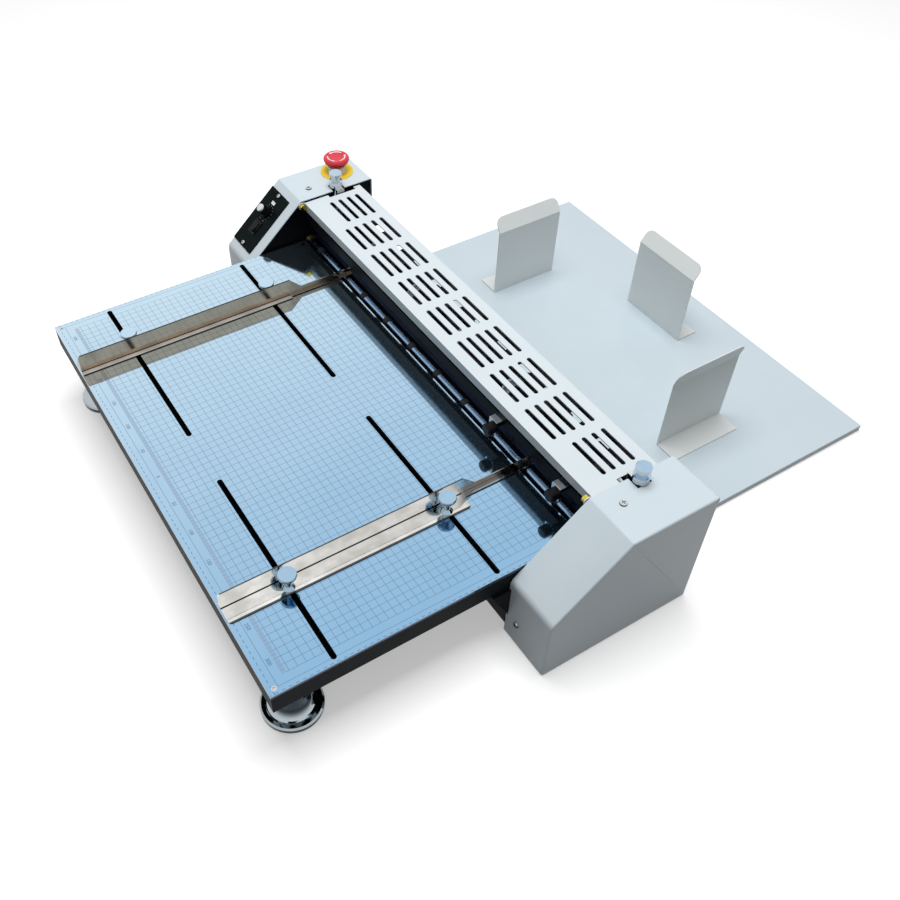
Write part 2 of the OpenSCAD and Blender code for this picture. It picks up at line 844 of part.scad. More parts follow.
module stop_stem() {
    low = casing_h - barrel_low + stop_gap;
    top = casing_h + stop_ring_t + collar_h + stop_gap + stop_ring_t;
    color([0.70, 0.10, 0.16]) rod_z(stop_x, stop_y, low, top - low, stem_top_d);
}

module stop_head() {
    low = casing_h + stop_ring_t + collar_h + stop_gap;
    r = stop_head_d / 2;
    rim = stop_head_h * 0.36;
    color([0.86, 0.10, 0.20]) translate([stop_x, stop_y, low]) difference() {
        rotate_extrude($fn = 96) polygon(concat(
            [[0, 0], [r * 0.72, 0], [r * 0.93, rim * 0.6]],
            [for (i = [0 : bend_steps]) let (a = 180 * i / bend_steps - 90)
                [r - rim + rim * cos(a) * 1, rim * 1.6 + rim * sin(a)]],
            [[r * 0.62, rim * 2.45], [r * 0.5, rim * 2.2], [0, rim * 2.1]]
        ));
        translate([0, 0, -cut]) cylinder(h = stop_ring_t + seat_gap + cut, d = stem_top_d + 2 * run_gap);
    }
}

module speed_knob() {
    low = panel_t + pot_washer_h + seat_gap;
    color([0.07, 0.07, 0.08]) on_slope() translate([panel_x, speed_at, low]) {
        cylinder(h = speed_h * 0.25, d = speed_d);
        translate([0, 0, speed_h * 0.25])
            cylinder(h = speed_h * 0.75, d1 = speed_d * 0.82, d2 = speed_d * 0.74);
        translate([0, 0, speed_h]) cylinder(h = speed_cap_h, d1 = speed_cap_d, d2 = speed_cap_d * 0.86);
    }
}

module brass_pins() {
    head_x = cover_w / 2 - cover_t - seat_gap - hinge_head_t;
    color([0.84, 0.68, 0.30]) both_sides() {
        rod_x(head_x, frame_out - head_x, hinge_y, hinge_z, hinge_pin_d);
        rod_x(head_x, hinge_head_t, hinge_y, hinge_z, hinge_head_d);
        rod_x(frame_in - rest_pin_in, frame_out - frame_in + rest_pin_in, rest_y, rest_z, rest_pin_d);
    }
}

module bridge_plate() {
    front = feed_y + ring_d / 2 + loose_gap;
    back = tool_y - tool_d / 2 - loose_gap;
    color([0.13, 0.16, 0.22]) {
        box(-frame_in, front, table_h - base_t, 2 * frame_in, back - front, base_t);
        box(-frame_in, back - base_t, table_h - bridge_drop, 2 * frame_in, base_t, bridge_drop);
    }
}

// A black plate over the exit wheels, with a row of windows and a folded rear edge
module exit_guard() {
    low = guard_z - guard_t;
    first = guard_window_shift - guard_window_pitch * (guard_window_count - 1) / 2;
    color(black_paint) difference() {
        union() {
            box(-frame_in, guard_front, low, 2 * frame_in, guard_back - guard_front, guard_t);
            box(-frame_in, guard_back - guard_t, guard_z - guard_drop, 2 * frame_in, guard_t, guard_drop);
        }
        for (i = [0 : guard_window_count - 1])
            box(first + i * guard_window_pitch - guard_window_w / 2,
                exit_y - guard_window_before - guard_window_len / 2, low - cut,
                guard_window_w, guard_window_len, guard_t + 2 * cut);
    }
}

module bush(y, z, d) {
    along_x(frame_in, frame_t) difference() {
        translate([y, z]) circle(d = d + 2 * bush_wall);
        translate([y, z]) circle(d = d + 2 * run_gap);
    }
}

module shaft_bushes() {
    color([0.72, 0.55, 0.32]) both_sides() {
        bush(feed_y, feed_z, feed_journal_d);
        bush(tool_y, lower_tool_z, tool_shaft_d);
        bush(exit_y, lower_exit_z, exit_shaft_d);
        bush(exit_y, upper_exit_z, exit_shaft_d);
    }
}

module bearing_blocks() {
    inner = bracket_in + bracket_t;
    color(steel) both_sides() difference() {
        box(inner, tool_y - block_w / 2, upper_tool_z - block_low,
            frame_out + block_out - inner, block_w, block_low + block_high);
        rod_x(inner - cut, frame_out + block_out - inner + 2 * cut, tool_y, upper_tool_z,
            tool_shaft_d + 2 * run_gap);
    }
}

module pressure_brackets() {
    reach = frame_out + block_out - bracket_in;
    color(nickel) both_sides() difference() {
        union() {
            box(bracket_in, tool_y - bracket_w / 2, bracket_z, reach, bracket_w, bracket_t);
            box(bracket_in, tool_y - bracket_w / 2, bracket_z + bracket_t - bracket_drop,
                bracket_t, bracket_w, bracket_drop);
        }
        rod_z(press_x, tool_y, bracket_z - cut, bracket_t + 2 * cut, press_stem_d + 2 * run_gap);
        rod_x(bracket_in - cut, bracket_t + 2 * cut, tool_y, upper_tool_z, tool_shaft_d + 2 * loose_gap);
    }
}

module pressure_springs() {
    low = upper_tool_z + block_high;
    color(steel) both_sides() translate([press_x, tool_y, low]) difference() {
        cylinder(h = bracket_z - low, d = spring_d);
        translate([0, 0, -cut]) cylinder(h = bracket_z - low + 2 * cut, d = spring_in_d);
    }
}

module pressure_knob(side) {
    low = bracket_z + bracket_t;
    neck = low + press_collar_h;
    head = neck + press_neck_h;
    stem_low = upper_tool_z + block_high + loose_gap;
    color(nickel) mirrored(side) translate([press_x, tool_y, 0]) {
        translate([0, 0, stem_low]) cylinder(h = low - stem_low, d = press_stem_d);
        translate([0, 0, low]) cylinder(h = press_collar_h / 3, d = press_collar_d);
        translate([0, 0, low + press_collar_h / 3])
            cylinder(h = press_collar_h / 6, d = press_collar_d - press_head_chamfer);
        translate([0, 0, low + press_collar_h / 2]) cylinder(h = press_collar_h / 2, d = press_collar_d);
        translate([0, 0, neck]) cylinder(h = press_neck_h, d = press_neck_d);
        translate([0, 0, head]) cylinder(h = press_head_chamfer, d1 = pressure_d - 2 * press_head_chamfer,
            d2 = pressure_d);
        translate([0, 0, head + press_head_chamfer])
            cylinder(h = press_head_h - 2 * press_head_chamfer, d = pressure_d);
        translate([0, 0, head + press_head_h - press_head_chamfer])
            cylinder(h = press_head_chamfer, d1 = pressure_d, d2 = pressure_d - 2 * press_head_chamfer);
    }
}

module top_cover() {
    half = cover_w / 2;
    under = cover_z - cover_t;
    low = cover_z - cover_lip_h;
    back = cover_y + cover_len;
    first = -(slot_groups - 1) * group_pitch / 2 - vent_len / 2;
    color([0.89, 0.92, 0.94]) difference() {
        union() {
            box(-half, cover_y, under, 2 * half, cover_len, cover_t);
            box(-half, cover_y, low, 2 * half, cover_t, cover_lip_h);
            box(-half, back - cover_t, cover_z - cover_back_lip_h, 2 * half, cover_t, cover_back_lip_h);
            both_sides() {
                box(half - cover_t, cover_y, low, cover_t, cover_len, cover_lip_h);
                box(half - cover_t, hinge_y, hinge_z - hinge_ear_r, cover_t, cover_y - hinge_y + cover_t,
                    2 * hinge_ear_r - loose_gap);
                rod_x(half - cover_t, cover_t, hinge_y, hinge_z, 2 * hinge_ear_r);
            }
        }
        both_sides() {
            rod_x(half - cover_t - cut, cover_t + 2 * cut, hinge_y, hinge_z, hinge_pin_d + 2 * run_gap);
            box(half - notch_depth, cover_y + notch_front, low - cut, notch_depth + cut,
                notch_back - notch_front, cover_lip_h + 2 * cut);
            rod_x(half - cover_t - cut, cover_t + 2 * cut, rest_y, rest_z, rest_pin_d + 2 * seat_gap);
            box(half - cover_t - cut, rest_y - rest_pin_d / 2 - seat_gap, low - cut,
                cover_t + 2 * cut, rest_pin_d + 2 * seat_gap, rest_z - low + cut);
        }
        translate([0, 0, under - cut]) linear_extrude(cover_t + 2 * cut)
            for (g = [0 : slot_groups - 1], r = [0 : slot_rows - 1])
                if (r > 0 || (g > 0 && g < slot_groups - 1))
                    slot_flat(first + g * group_pitch, cover_y + first_row + r * row_pitch, vent_len, vent_w);
    }
}

// A guide for the right side: wall at x, flange outwards, lip inwards, low nose at the back
module guide(x) {
    tall_back = front_y + guide_front + guide_len;
    tip = tall_back + nose_len;
    step_back = tall_back + step_len;
    front = front_y + guide_front;
    color([0.72, 0.70, 0.68]) {
        difference() {
            union() {
                along_x(x, guide_t) polygon(concat(
                    [[front, guide_z]],
                    round_corner([front, guide_z], [front, guide_z + guide_h],
                        [tall_back, guide_z + guide_h], guide_corner_r),
                    [[tall_back, guide_z + guide_h], [step_back, guide_z + nose_h],
                        [tip, guide_z + nose_h], [tip, guide_z + nose_lift],
                        [tall_back + nose_lift, guide_z + nose_lift], [tall_back, guide_z]]
                ));
                translate([0, 0, guide_z]) linear_extrude(guide_t) polygon(concat(
                    [[x - guide_lip_w, front], [x + flange_w - guide_corner_r, front]],
                    round_corner([x, front], [x + flange_w, front], [x + flange_w, tall_back],
                        guide_corner_r),
                    round_corner([x + flange_w, front], [x + flange_w, tall_back], [x, tall_back],
                        guide_corner_r),
                    [[x - guide_lip_w, tall_back]]
                ));
                box(x - guide_lip_w / 2, tall_back - nose_lift, guide_z + nose_lift,
                    nose_flange_w + guide_lip_w / 2, nose_len + nose_lift, guide_t);
            }
            for (y = [slot_front, slot_front + slot_pitch])
                rod_z(x + knob_in, front_y + y, guide_z - cut, guide_t + 2 * cut, stem_d + 2 * run_gap);
        }
        for (y = [slot_front, slot_front + slot_pitch])
            translate([x + knob_in, front_y + y, table_h - board_t - pan_t - seat_gap - nut_t])
                difference() {
                    translate([-nut_w / 2, -nut_w / 2, 0]) cube([nut_w, nut_w, nut_t]);
                    translate([0, 0, -cut]) cylinder(h = nut_t + 2 * cut, d = stem_d + 2 * run_gap);
                }
    }
}

module clamp_knob(x, y) {
    low = table_h - board_t - pan_t - seat_gap - nut_t - stem_tail;
    base = guide_z + guide_t + seat_gap / 2;
    disc = table_h + knob_h - knob_disc_t;
    color([0.80, 0.81, 0.82]) translate([x, front_y + y, 0]) {
        translate([0, 0, low]) cylinder(h = base - low, d = stem_d);
        translate([0, 0, base]) cylinder(h = knob_base_t, d1 = knob_base_d, d2 = knob_neck_d);
        translate([0, 0, base + knob_base_t]) cylinder(h = disc - base - knob_base_t, d = knob_neck_d);
        translate([0, 0, disc]) cylinder(h = knob_disc_t * 0.2, d1 = knob_d * 0.9, d2 = knob_d);
        translate([0, 0, disc + knob_disc_t * 0.2]) cylinder(h = knob_disc_t * 0.6, d = knob_d);
        translate([0, 0, disc + knob_disc_t * 0.8])
            cylinder(h = knob_disc_t * 0.2, d1 = knob_d, d2 = knob_d * 0.95);
    }
}

module gear(x, y, z, teeth, pitch_r, phase) {
    along_x(x, gear_w) translate([y, z]) rotate(phase) polygon(gear_outline(teeth, pitch_r));
}

// A belt pulley on the left side, with a rim on both sides of the belt
module pulley(x, y, z, r) {
    both = pulley_w + 2 * pulley_rim_t;
    rod_x(-x - both, both, y, z, 2 * r);
    rod_x(-x - both, pulley_rim_t, y, z, 2 * (r + pulley_rim_h));
    rod_x(-x - pulley_rim_t, pulley_rim_t, y, z, 2 * (r + pulley_rim_h));
}

module upper_tool_shaft() {
    left = frame_out + block_out + shaft_tail;
    color(steel) {
        rod_x(-left, left + gear_x + gear_w + shaft_tail, tool_y, upper_tool_z, tool_shaft_d);
        gear(gear_x, tool_y, upper_tool_z, tool_teeth, tool_d / 2, 90 + 180 / tool_teeth);
    }
}

module lower_tool_shaft() {
    left = second_pulley_x + pulley_w + 2 * pulley_rim_t + shaft_tail;
    color(steel) {
        rod_x(-left, left + gear_x + gear_w + shaft_tail, tool_y, lower_tool_z, tool_shaft_d);
        gear(gear_x, tool_y, lower_tool_z, tool_teeth, tool_d / 2, 90);
        pulley(pulley_x, tool_y, lower_tool_z, tool_pulley_r);
        pulley(second_pulley_x, tool_y, lower_tool_z, tool_pulley_r);
    }
}

// A ring on a tool shaft, x is its middle
module tool_ring(x, z, d, width) {
    along_x(x - width / 2, width) difference() {
        translate([tool_y, z]) circle(d = d);
        translate([tool_y, z]) circle(d = tool_shaft_d);
    }
}

module crease_wheels() {
    color([0.80, 0.81, 0.82]) for (i = [-2 : 2]) {
        tool_ring(i * station_pitch, upper_tool_z, crease_hub_d, crease_hub_w);
        tool_ring(i * station_pitch, upper_tool_z, tool_d, crease_ridge_w);
    }
    color(black_rubber) for (i = [-2.5 : 2.5])
        tool_ring(i * station_pitch, upper_tool_z, tool_d - nip_gap, grip_w);
}

module anvil_collars() {
    color([0.70, 0.71, 0.72]) for (i = [-2 : 2]) {
        tool_ring(i * station_pitch, lower_tool_z, tool_d - 2 * groove_depth, groove_w);
        for (s = [-1, 1])
            tool_ring(i * station_pitch + s * (groove_w / 2 + anvil_w / 4), lower_tool_z,
                tool_d - nip_gap, anvil_w / 2);
    }
    color(black_rubber) for (i = [-2.5 : 2.5])
        tool_ring(i * station_pitch, lower_tool_z, tool_d - nip_gap, grip_w);
}

module feed_shaft() {
    left = pulley_x + pulley_w + 2 * pulley_rim_t + shaft_tail;
    body = frame_in - seat_gap;
    color(steel) {
        rod_x(-left, left + frame_out + shaft_tail, feed_y, feed_z, feed_journal_d);
        rod_x(-body, 2 * body, feed_y, feed_z, feed_rod_d);
        pulley(pulley_x, feed_y, feed_z, feed_pulley_r);
    }
}

module feed_rings() {
    color(black_rubber) for (i = [0 : ring_count - 1])
        along_x((i - (ring_count - 1) / 2) * ring_pitch - ring_shift - ring_w / 2, ring_w) difference() {
            translate([feed_y, feed_z]) circle(d = ring_d);
            translate([feed_y, feed_z]) circle(d = feed_rod_d);
        }
}

module exit_shaft(z, phase) {
    color(steel) {
        gear(gear_x, exit_y, z, exit_teeth, exit_axes / 2, phase);
        rod_x(-frame_out - shaft_tail, frame_out + gear_x + gear_w + 2 * shaft_tail, exit_y, z, exit_shaft_d);
    }
}

module upper_exit_shaft() {
    exit_shaft(upper_exit_z, 90 + 180 / exit_teeth);
}

module lower_exit_shaft() {
    left = pulley_x + pulley_w + 2 * pulley_rim_t + shaft_tail;
    exit_shaft(lower_exit_z, 90);
    color(steel) {
        rod_x(-left, left - frame_out, exit_y, lower_exit_z, exit_shaft_d);
        pulley(pulley_x, exit_y, lower_exit_z, exit_pulley_r);
    }
}

module exit_wheels(z) {
    color(black_rubber) for (i = [0 : exit_wheel_count - 1])
        along_x(exit_wheel_x(i) - exit_wheel_w / 2, exit_wheel_w) difference() {
            translate([exit_y, z]) circle(d = exit_d);
            translate([exit_y, z]) circle(d = exit_shaft_d);
        }
}

module motor() {
    color([0.30, 0.31, 0.33]) difference() {
        rod_x(-frame_in, motor_len, motor_y, motor_z, motor_d);
        rod_x(-frame_in - cut, cut + 2 * shaft_tail, motor_y, motor_z, motor_shaft_d + 2 * run_gap);
    }
}

module motor_pulley() {
    left = second_pulley_x + pulley_w + 2 * pulley_rim_t + shaft_tail;
    color(steel) {
        rod_x(-left, left - frame_in + shaft_tail, motor_y, motor_z, motor_shaft_d);
        pulley(second_pulley_x, motor_y, motor_z, motor_pulley_r);
    }
}

module belt(x, rings) {
    middle = x + pulley_rim_t + (pulley_w - belt_w) / 2;
    along_x(-middle - belt_w, belt_w) difference() {
        polygon(belt_path(rings, seat_gap + belt_t));
        polygon(belt_path(rings, seat_gap));
    }
}

module drive_belts() {
    color(black_rubber) {
        belt(pulley_x, [
            [feed_y, feed_z, feed_pulley_r],
            [tool_y, lower_tool_z, tool_pulley_r],
            [exit_y, lower_exit_z, exit_pulley_r]
        ]);
        belt(second_pulley_x, [
            [motor_y, motor_z, motor_pulley_r],
            [tool_y, lower_tool_z, tool_pulley_r]
        ]);
    }
}

module power_board() {
    x = -frame_out - board_off - board_sheet_t;
    color([0.10, 0.38, 0.22]) box(x, board_y, board_z, board_sheet_t, board_w, board_h);
    half = board_part / 2;
    color([0.75, 0.76, 0.78])
        for (y = [half, board_w - half], z = [half, board_h - half])
            rod_x(x + board_sheet_t, board_off, board_y + y, board_z + z, board_part / 3);
    color([0.12, 0.14, 0.30]) {
        box(x - board_part, board_y + half, board_z + half, board_part, 2 * board_part, 2 * board_part);
        for (z = [board_part, 2 * board_part + half / 3])
            rod_x(x - board_part, board_part, board_y + 3 * board_part + half, board_z + z, board_part * 0.8);
    }
}

module mains_inlet() {
    wall = inlet_rim_t;
    color([0.06, 0.06, 0.07]) {
        difference() {
            union() {
                box(stop_x - inlet_w / 2, casing_back_y - inlet_depth, inlet_z - inlet_h / 2,
                    inlet_w, inlet_depth, inlet_h);
                box(stop_x - inlet_w / 2 - wall, casing_back_y, inlet_z - inlet_h / 2 - wall,
                    inlet_w + 2 * wall, inlet_rim_t, inlet_h + 2 * wall);
            }
            box(stop_x - inlet_w / 2 + wall, casing_back_y - inlet_depth + wall, inlet_z - inlet_h / 2 + wall,
                inlet_w - 2 * wall, inlet_depth + inlet_rim_t, inlet_h - 2 * wall);
        }
        for (i = [-1 : 1])
            box(stop_x + i * inlet_pin_gap - inlet_pin_w / 2, casing_back_y - inlet_depth + wall / 2,
                inlet_z - inlet_pin_h / 2 + (i == 0 ? wall : -wall) / 2, inlet_pin_w,
                inlet_depth - 2 * wall, inlet_pin_h);
    }
}

module delivery_tray() {
    color([0.83, 0.87, 0.90]) difference() {
        union() {
            box(-tray_w / 2, tray_front_y, 0, tray_w, tray_len, tray_h);
            box(-tray_w / 2, tray_front_y, 0, tray_w, tray_t, tray_flange_h);
        }
        box(-tray_w / 2 + tray_t, tray_front_y + tray_t, -cut,
            tray_w - 2 * tray_t, tray_len - 2 * tray_t, tray_h - tray_t + cut);
    }
}

// A stop made of bent sheet: foot towards +X, sheet along Y from 0, lip leaning to +X by lip_a
module bent_stop(lip_a) {
    base = tray_h + seat_gap;
    bend = base + stop_h;
    slant = tray_t / cos(lip_a / 2);
    color([0.70, 0.74, 0.76]) {
        translate([0, stop_len, 0]) rotate([90, 0, 0]) linear_extrude(stop_len) polygon([
            [0, base], [stop_foot_w, base], [stop_foot_w, base + tray_t], [tray_t, base + tray_t],
            [tray_t, bend], [0, bend]
        ]);
        translate([0, 0, bend]) rotate([0, lip_a, 0]) rotate([0, 0, 90])
            rotate([90, 0, 0]) linear_extrude(tray_t) polygon(concat(
                [[0, -slant * sin(lip_a / 2)]],
                round_corner([0, 0], [0, stop_lip], [stop_len, stop_lip], stop_lip_r),
                round_corner([0, stop_lip], [stop_len, stop_lip], [stop_len, 0], stop_lip_r),
                [[stop_len, -slant * sin(lip_a / 2)]]
            ));
    }
}

module right_stop() {
    translate([right_stop_x, right_stop_y, 0]) bent_stop(right_stop_lip_a);
}

module left_stop() {
    translate([-left_stop_x, left_stop_y, 0]) mirror([1, 0, 0]) bent_stop(stop_lip_a);
}

module end_stop() {
    translate([stop_len / 2, end_stop_y, 0]) rotate([0, 0, 90]) bent_stop(stop_lip_a);
}

// A clip over the front bar, with a finger that reaches down behind it
module hold_down(x) {
    y = bar_y;
    low = bar_low_z;
    top = bar_low_z + bar_h + seat_gap;
    front = y - clip_reach;
    rear = y + bar_t + seat_gap;
    knee = [rear, table_h] + finger_knee;
    tip = [rear, table_h] + finger_tip;
    color(nickel) difference() {
        along_x(x - clip_w / 2, clip_w) polygon([
            [front - clip_t, low - 2 * clip_t], [front - clip_t, top + clip_t], [rear + clip_t, top + clip_t],
            [rear + clip_t, low + 2 * clip_t], knee + [clip_t, clip_t], tip + [clip_t, 0],
            tip, knee, [rear, low + clip_t], [rear, top], [front, top], [front, low - 2 * clip_t]
        ]);
        rod_y(x, front - clip_t - cut, clip_t + 2 * cut, thumb_z, thumb_stem_d + 2 * run_gap);
    }
}

module thumb_screw(x) {
    back = bar_y - clip_reach - clip_t - seat_gap / 2;
    chamfer = thumb_len / 7;
    color(black_rubber) {
        rod_y(x, back, clip_reach + clip_t, thumb_z, thumb_stem_d);
        rod_y(x, back - thumb_len + chamfer, thumb_len - chamfer, thumb_z, thumb_d);
        translate([x, back - thumb_len, thumb_z]) rotate([-90, 0, 0])
            cylinder(h = chamfer, d1 = thumb_d - 2 * chamfer, d2 = thumb_d);
    }
}

side_frame(-1);  // left_side_frame
side_frame(1);  // right_side_frame
base_pan();
casing(-1);  // left_casing
casing(1);  // right_casing
screws();
tie_bars();
table_board();
table_pan();
table_feet();
rubber_feet();
control_panel();
speed_pot();
rocker_frame();
stop_ring();
stop_collar();
stop_contacts();
brass_pins();
bridge_plate();
exit_guard();
shaft_bushes();
bearing_blocks();
pressure_brackets();
pressure_springs();
motor();
drive_belts();
power_board();
mains_inlet();
delivery_tray();
top_cover();
mirror([1, 0, 0]) guide(left_guide_x);  // left_guide
guide(right_guide_x);  // right_guide
clamp_knob(-left_guide_x - knob_in, slot_front);  // left_front_knob
clamp_knob(-left_guide_x - knob_in, slot_front + slot_pitch);  // left_rear_knob
clamp_knob(right_guide_x + knob_in, slot_front);  // right_front_knob
clamp_knob(right_guide_x + knob_in, slot_front + slot_pitch);  // right_rear_knob
upper_tool_shaft();
crease_wheels();
lower_tool_shaft();
anvil_collars();
feed_shaft();
feed_rings();
upper_exit_shaft();
exit_wheels(upper_exit_z);  // upper_exit_wheels
lower_exit_shaft();
exit_wheels(lower_exit_z);  // lower_exit_wheels
motor_pulley();
pressure_knob(-1);  // left_pressure_knob
pressure_knob(1);  // right_pressure_knob
stop_stem();
stop_head();
speed_knob();
rocker();
hold_down(left_hold_x);  // left_hold_down
hold_down(right_hold_x);  // right_hold_down
thumb_screw(left_hold_x);  // left_thumb_screw
thumb_screw(right_hold_x);  // right_thumb_screw
left_stop();
right_stop();
end_stop();
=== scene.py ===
"""Looks of the desktop paper creasing machine: finishes, print and marks, screw heads, light and camera."""
import json
import math

import bpy
from mathutils import Matrix, Vector


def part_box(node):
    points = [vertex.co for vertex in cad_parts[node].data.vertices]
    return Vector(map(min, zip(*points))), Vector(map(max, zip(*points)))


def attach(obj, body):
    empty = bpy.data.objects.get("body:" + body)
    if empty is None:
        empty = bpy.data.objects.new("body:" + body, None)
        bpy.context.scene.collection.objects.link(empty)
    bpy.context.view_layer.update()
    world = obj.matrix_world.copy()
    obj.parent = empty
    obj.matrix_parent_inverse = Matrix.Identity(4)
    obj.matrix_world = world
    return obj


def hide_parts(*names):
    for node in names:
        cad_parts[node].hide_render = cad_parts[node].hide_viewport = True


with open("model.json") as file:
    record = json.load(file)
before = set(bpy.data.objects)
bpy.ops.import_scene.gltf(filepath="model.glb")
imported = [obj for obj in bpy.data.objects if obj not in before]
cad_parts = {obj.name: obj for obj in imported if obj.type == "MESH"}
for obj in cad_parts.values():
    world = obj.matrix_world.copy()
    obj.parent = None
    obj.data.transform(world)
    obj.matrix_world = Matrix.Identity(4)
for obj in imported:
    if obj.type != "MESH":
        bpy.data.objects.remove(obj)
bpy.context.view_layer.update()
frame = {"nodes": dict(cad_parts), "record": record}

MM = 0.001
nodes = frame["nodes"]
record = frame["record"]
slot_of = {part["node"]: part["material_slot"] for part in record["subparts"]}


def place_of(name):
    """Lowest and highest corner of a CAD node, in millimetres."""
    low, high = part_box(name)
    return Vector(low) / MM, Vector(high) / MM


board_low, board_high = place_of("table_board")
panel_low, panel_high = place_of("control_panel")
head_low, head_high = place_of("stop_head")


# Colours and nodes

def linear(code):
    """A colour written as sRGB hex, as linear light."""
    levels = [int(code[i:i + 2], 16) / 255 for i in (1, 3, 5)]
    return tuple(v / 12.92 if v <= 0.04045 else ((v + 0.055) / 1.055) ** 2.4 for v in levels) + (1.0,)


def add(tree, kind, inputs=None, **settings):
    """A node with its settings, its inputs given as values or as sockets to link."""
    made = tree.nodes.new(kind)
    for key, value in settings.items():
        setattr(made, key, value)
    for key, value in (inputs or {}).items():
        if isinstance(value, bpy.types.NodeSocket):
            tree.links.new(value, made.inputs[key])
        else:
            made.inputs[key].default_value = value
    return made


def new_material(name, **sockets):
    """A material with one Principled shader, its constant sockets set on the shader itself."""
    material = bpy.data.materials.new(name)
    material.use_nodes = True
    tree = material.node_tree
    shader = tree.nodes["Principled BSDF"]
    for key, value in sockets.items():
        shader.inputs[key.replace("_", " ")].default_value = value
    return material, tree, shader


def maths(tree, operation, first, second=0.0, third=0.0):
    """One arithmetic step on values or sockets."""
    made = add(tree, "ShaderNodeMath", {0: first, 1: second, 2: third}, operation=operation)
    return made.outputs[0]


def position_mm(tree, scale=(1, 1, 1)):
    """The point on the piece in millimetres, each axis times its own share."""
    place = add(tree, "ShaderNodeTexCoord").outputs["Object"]
    factors = [share / MM for share in scale]
    return add(tree, "ShaderNodeVectorMath", {0: place, 1: factors}, operation="MULTIPLY").outputs[0]


def grain(tree, size_mm, detail=2.0, scale=(1, 1, 1)):
    """Soft noise whose patches are size_mm across."""
    made = add(tree, "ShaderNodeTexNoise", {"Vector": position_mm(tree, scale), "Scale": 1 / size_mm,
                                            "Detail": detail, "Roughness": 0.5})
    return made.outputs[0]


def spread(tree, value, low, high, start=0.0, end=1.0, smooth=False):
    """value, taken from start to end, laid out from low to high."""
    made = add(tree, "ShaderNodeMapRange", {0: value, 1: start, 2: end, 3: low, 4: high},
               interpolation_type="SMOOTHSTEP" if smooth else "LINEAR")
    return made.outputs[0]


# A mask's edge is this soft, and it runs this far past a piece's own edge, both in millimetres
SOFT_EDGE = 0.1
BEYOND = 1


def inside(tree, value, low, high):
    """1 where value lies between low and high, with a soft edge."""
    above = spread(tree, value, 0, 1, low - SOFT_EDGE, low + SOFT_EDGE)
    below = spread(tree, value, 1, 0, high - SOFT_EDGE, high + SOFT_EDGE)
    return maths(tree, "MULTIPLY", above, below)


def both(tree, *masks):
    """1 where every mask is 1."""
    found = masks[0]
    for mask in masks[1:]:
        found = maths(tree, "MULTIPLY", found, mask)
    return found


def any_of(tree, *masks):
    """1 where at least one mask is 1."""
    found = masks[0]
    for mask in masks[1:]:
        found = maths(tree, "MAXIMUM", found, mask)
    return found


def blend_colours(tree, share, first, second):
    """The first colour where share is 0 and the second where it is 1."""
    mix = add(tree, "ShaderNodeMix", {0: share, 6: first, 7: second}, data_type="RGBA")
    return mix.outputs[2]


def set_bump(tree, shader, height, depth_mm, strength=1.0):
    """Links a small relief, depth_mm deep, to the shader."""
    made = add(tree, "ShaderNodeBump", {"Height": height, "Distance": depth_mm * MM, "Strength": strength})
    tree.links.new(made.outputs[0], shader.inputs["Normal"])


def paint_over(tree, shader, share, colour):
    """Lays a colour, given as a value or a socket, over the shader's present one."""
    under = shader.inputs["Base Color"].links[0].from_socket
    tree.links.new(blend_colours(tree, share, under, colour), shader.inputs["Base Color"])


def vary(tree, shader, value, colours=None, roughness=None):
    """Links slow changes of colour and roughness, both driven by value."""
    if colours:
        mixed = blend_colours(tree, value, linear(colours[0]), linear(colours[1]))
        tree.links.new(mixed, shader.inputs["Base Color"])
    if roughness:
        tree.links.new(spread(tree, value, *roughness), shader.inputs["Roughness"])


# Finishes

def powder_coat(name, colours, roughness=(0.34, 0.44)):
    """Polyester powder coat on folded steel: an even satin sheen with a faint orange peel."""
    material, tree, shader = new_material(name, IOR=1.5)
    vary(tree, shader, grain(tree, 60), colours, roughness)
    set_bump(tree, shader, grain(tree, 1.8), depth_mm=0.02, strength=0.35)
    return material


def satin_paint(name, colours, roughness=(0.4, 0.55), sheen=0.15):
    """Sprayed satin enamel on plate: darker, with a slightly dusty surface."""
    material, tree, shader = new_material(name, IOR=1.45, Specular_IOR_Level=sheen)
    vary(tree, shader, grain(tree, 25, detail=4), colours, roughness)
    set_bump(tree, shader, grain(tree, 0.9), depth_mm=0.015, strength=0.4)
    return material


# Height in millimetres of the painted highlight band along the pan's rolled edge
PAN_HIGHLIGHT_BAND = 2.4


def pan_enamel():
    """The table pan's enamel: nearly black, with a paler band along the rolled edge under the board, a
    painted highlight.
    """
    material = satin_paint("pan_enamel", ("#0B1113", "#10171A"), sheen=0.05)
    tree = material.node_tree
    shader = tree.nodes["Principled BSDF"]
    up = add(tree, "ShaderNodeSeparateXYZ", {0: position_mm(tree)}).outputs["Z"]
    rim_highlight = inside(tree, up, board_low.z - PAN_HIGHLIGHT_BAND, board_low.z + BEYOND)
    # Painted highlight: a paler band along the rolled edge under the board
    paint_over(tree, shader, rim_highlight, linear("#47515B"))
    return material


# Upward share of a face's normal below which it counts as upright, and above which it counts as level
UPRIGHT_BELOW, LEVEL_ABOVE = 0.35, 0.85


def upright_share(tree):
    """1 on upright faces and 0 on level ones."""
    facing = add(tree, "ShaderNodeTexCoord").outputs["Normal"]
    level = maths(tree, "ABSOLUTE", add(tree, "ShaderNodeSeparateXYZ", {0: facing}).outputs["Z"])
    return spread(tree, level, 1, 0, UPRIGHT_BELOW, LEVEL_ABOVE, True)


def plated(name, colours, roughness=(0.04, 0.1), side=None):
    """Bright chrome or nickel plate: a near mirror with a faint haze; side tints its upright faces, a painted
    reflection.
    """
    material, tree, shader = new_material(name, Metallic=1.0)
    vary(tree, shader, grain(tree, 14, detail=3), colours, roughness)
    if side:
        # Painted reflection: upright faces take the side colour
        paint_over(tree, shader, upright_share(tree), linear(side))
    return material


CLOUD_SHARE = 0.95
CLOUDS_FROM, CLOUDS_TO = 0.3, 0.7


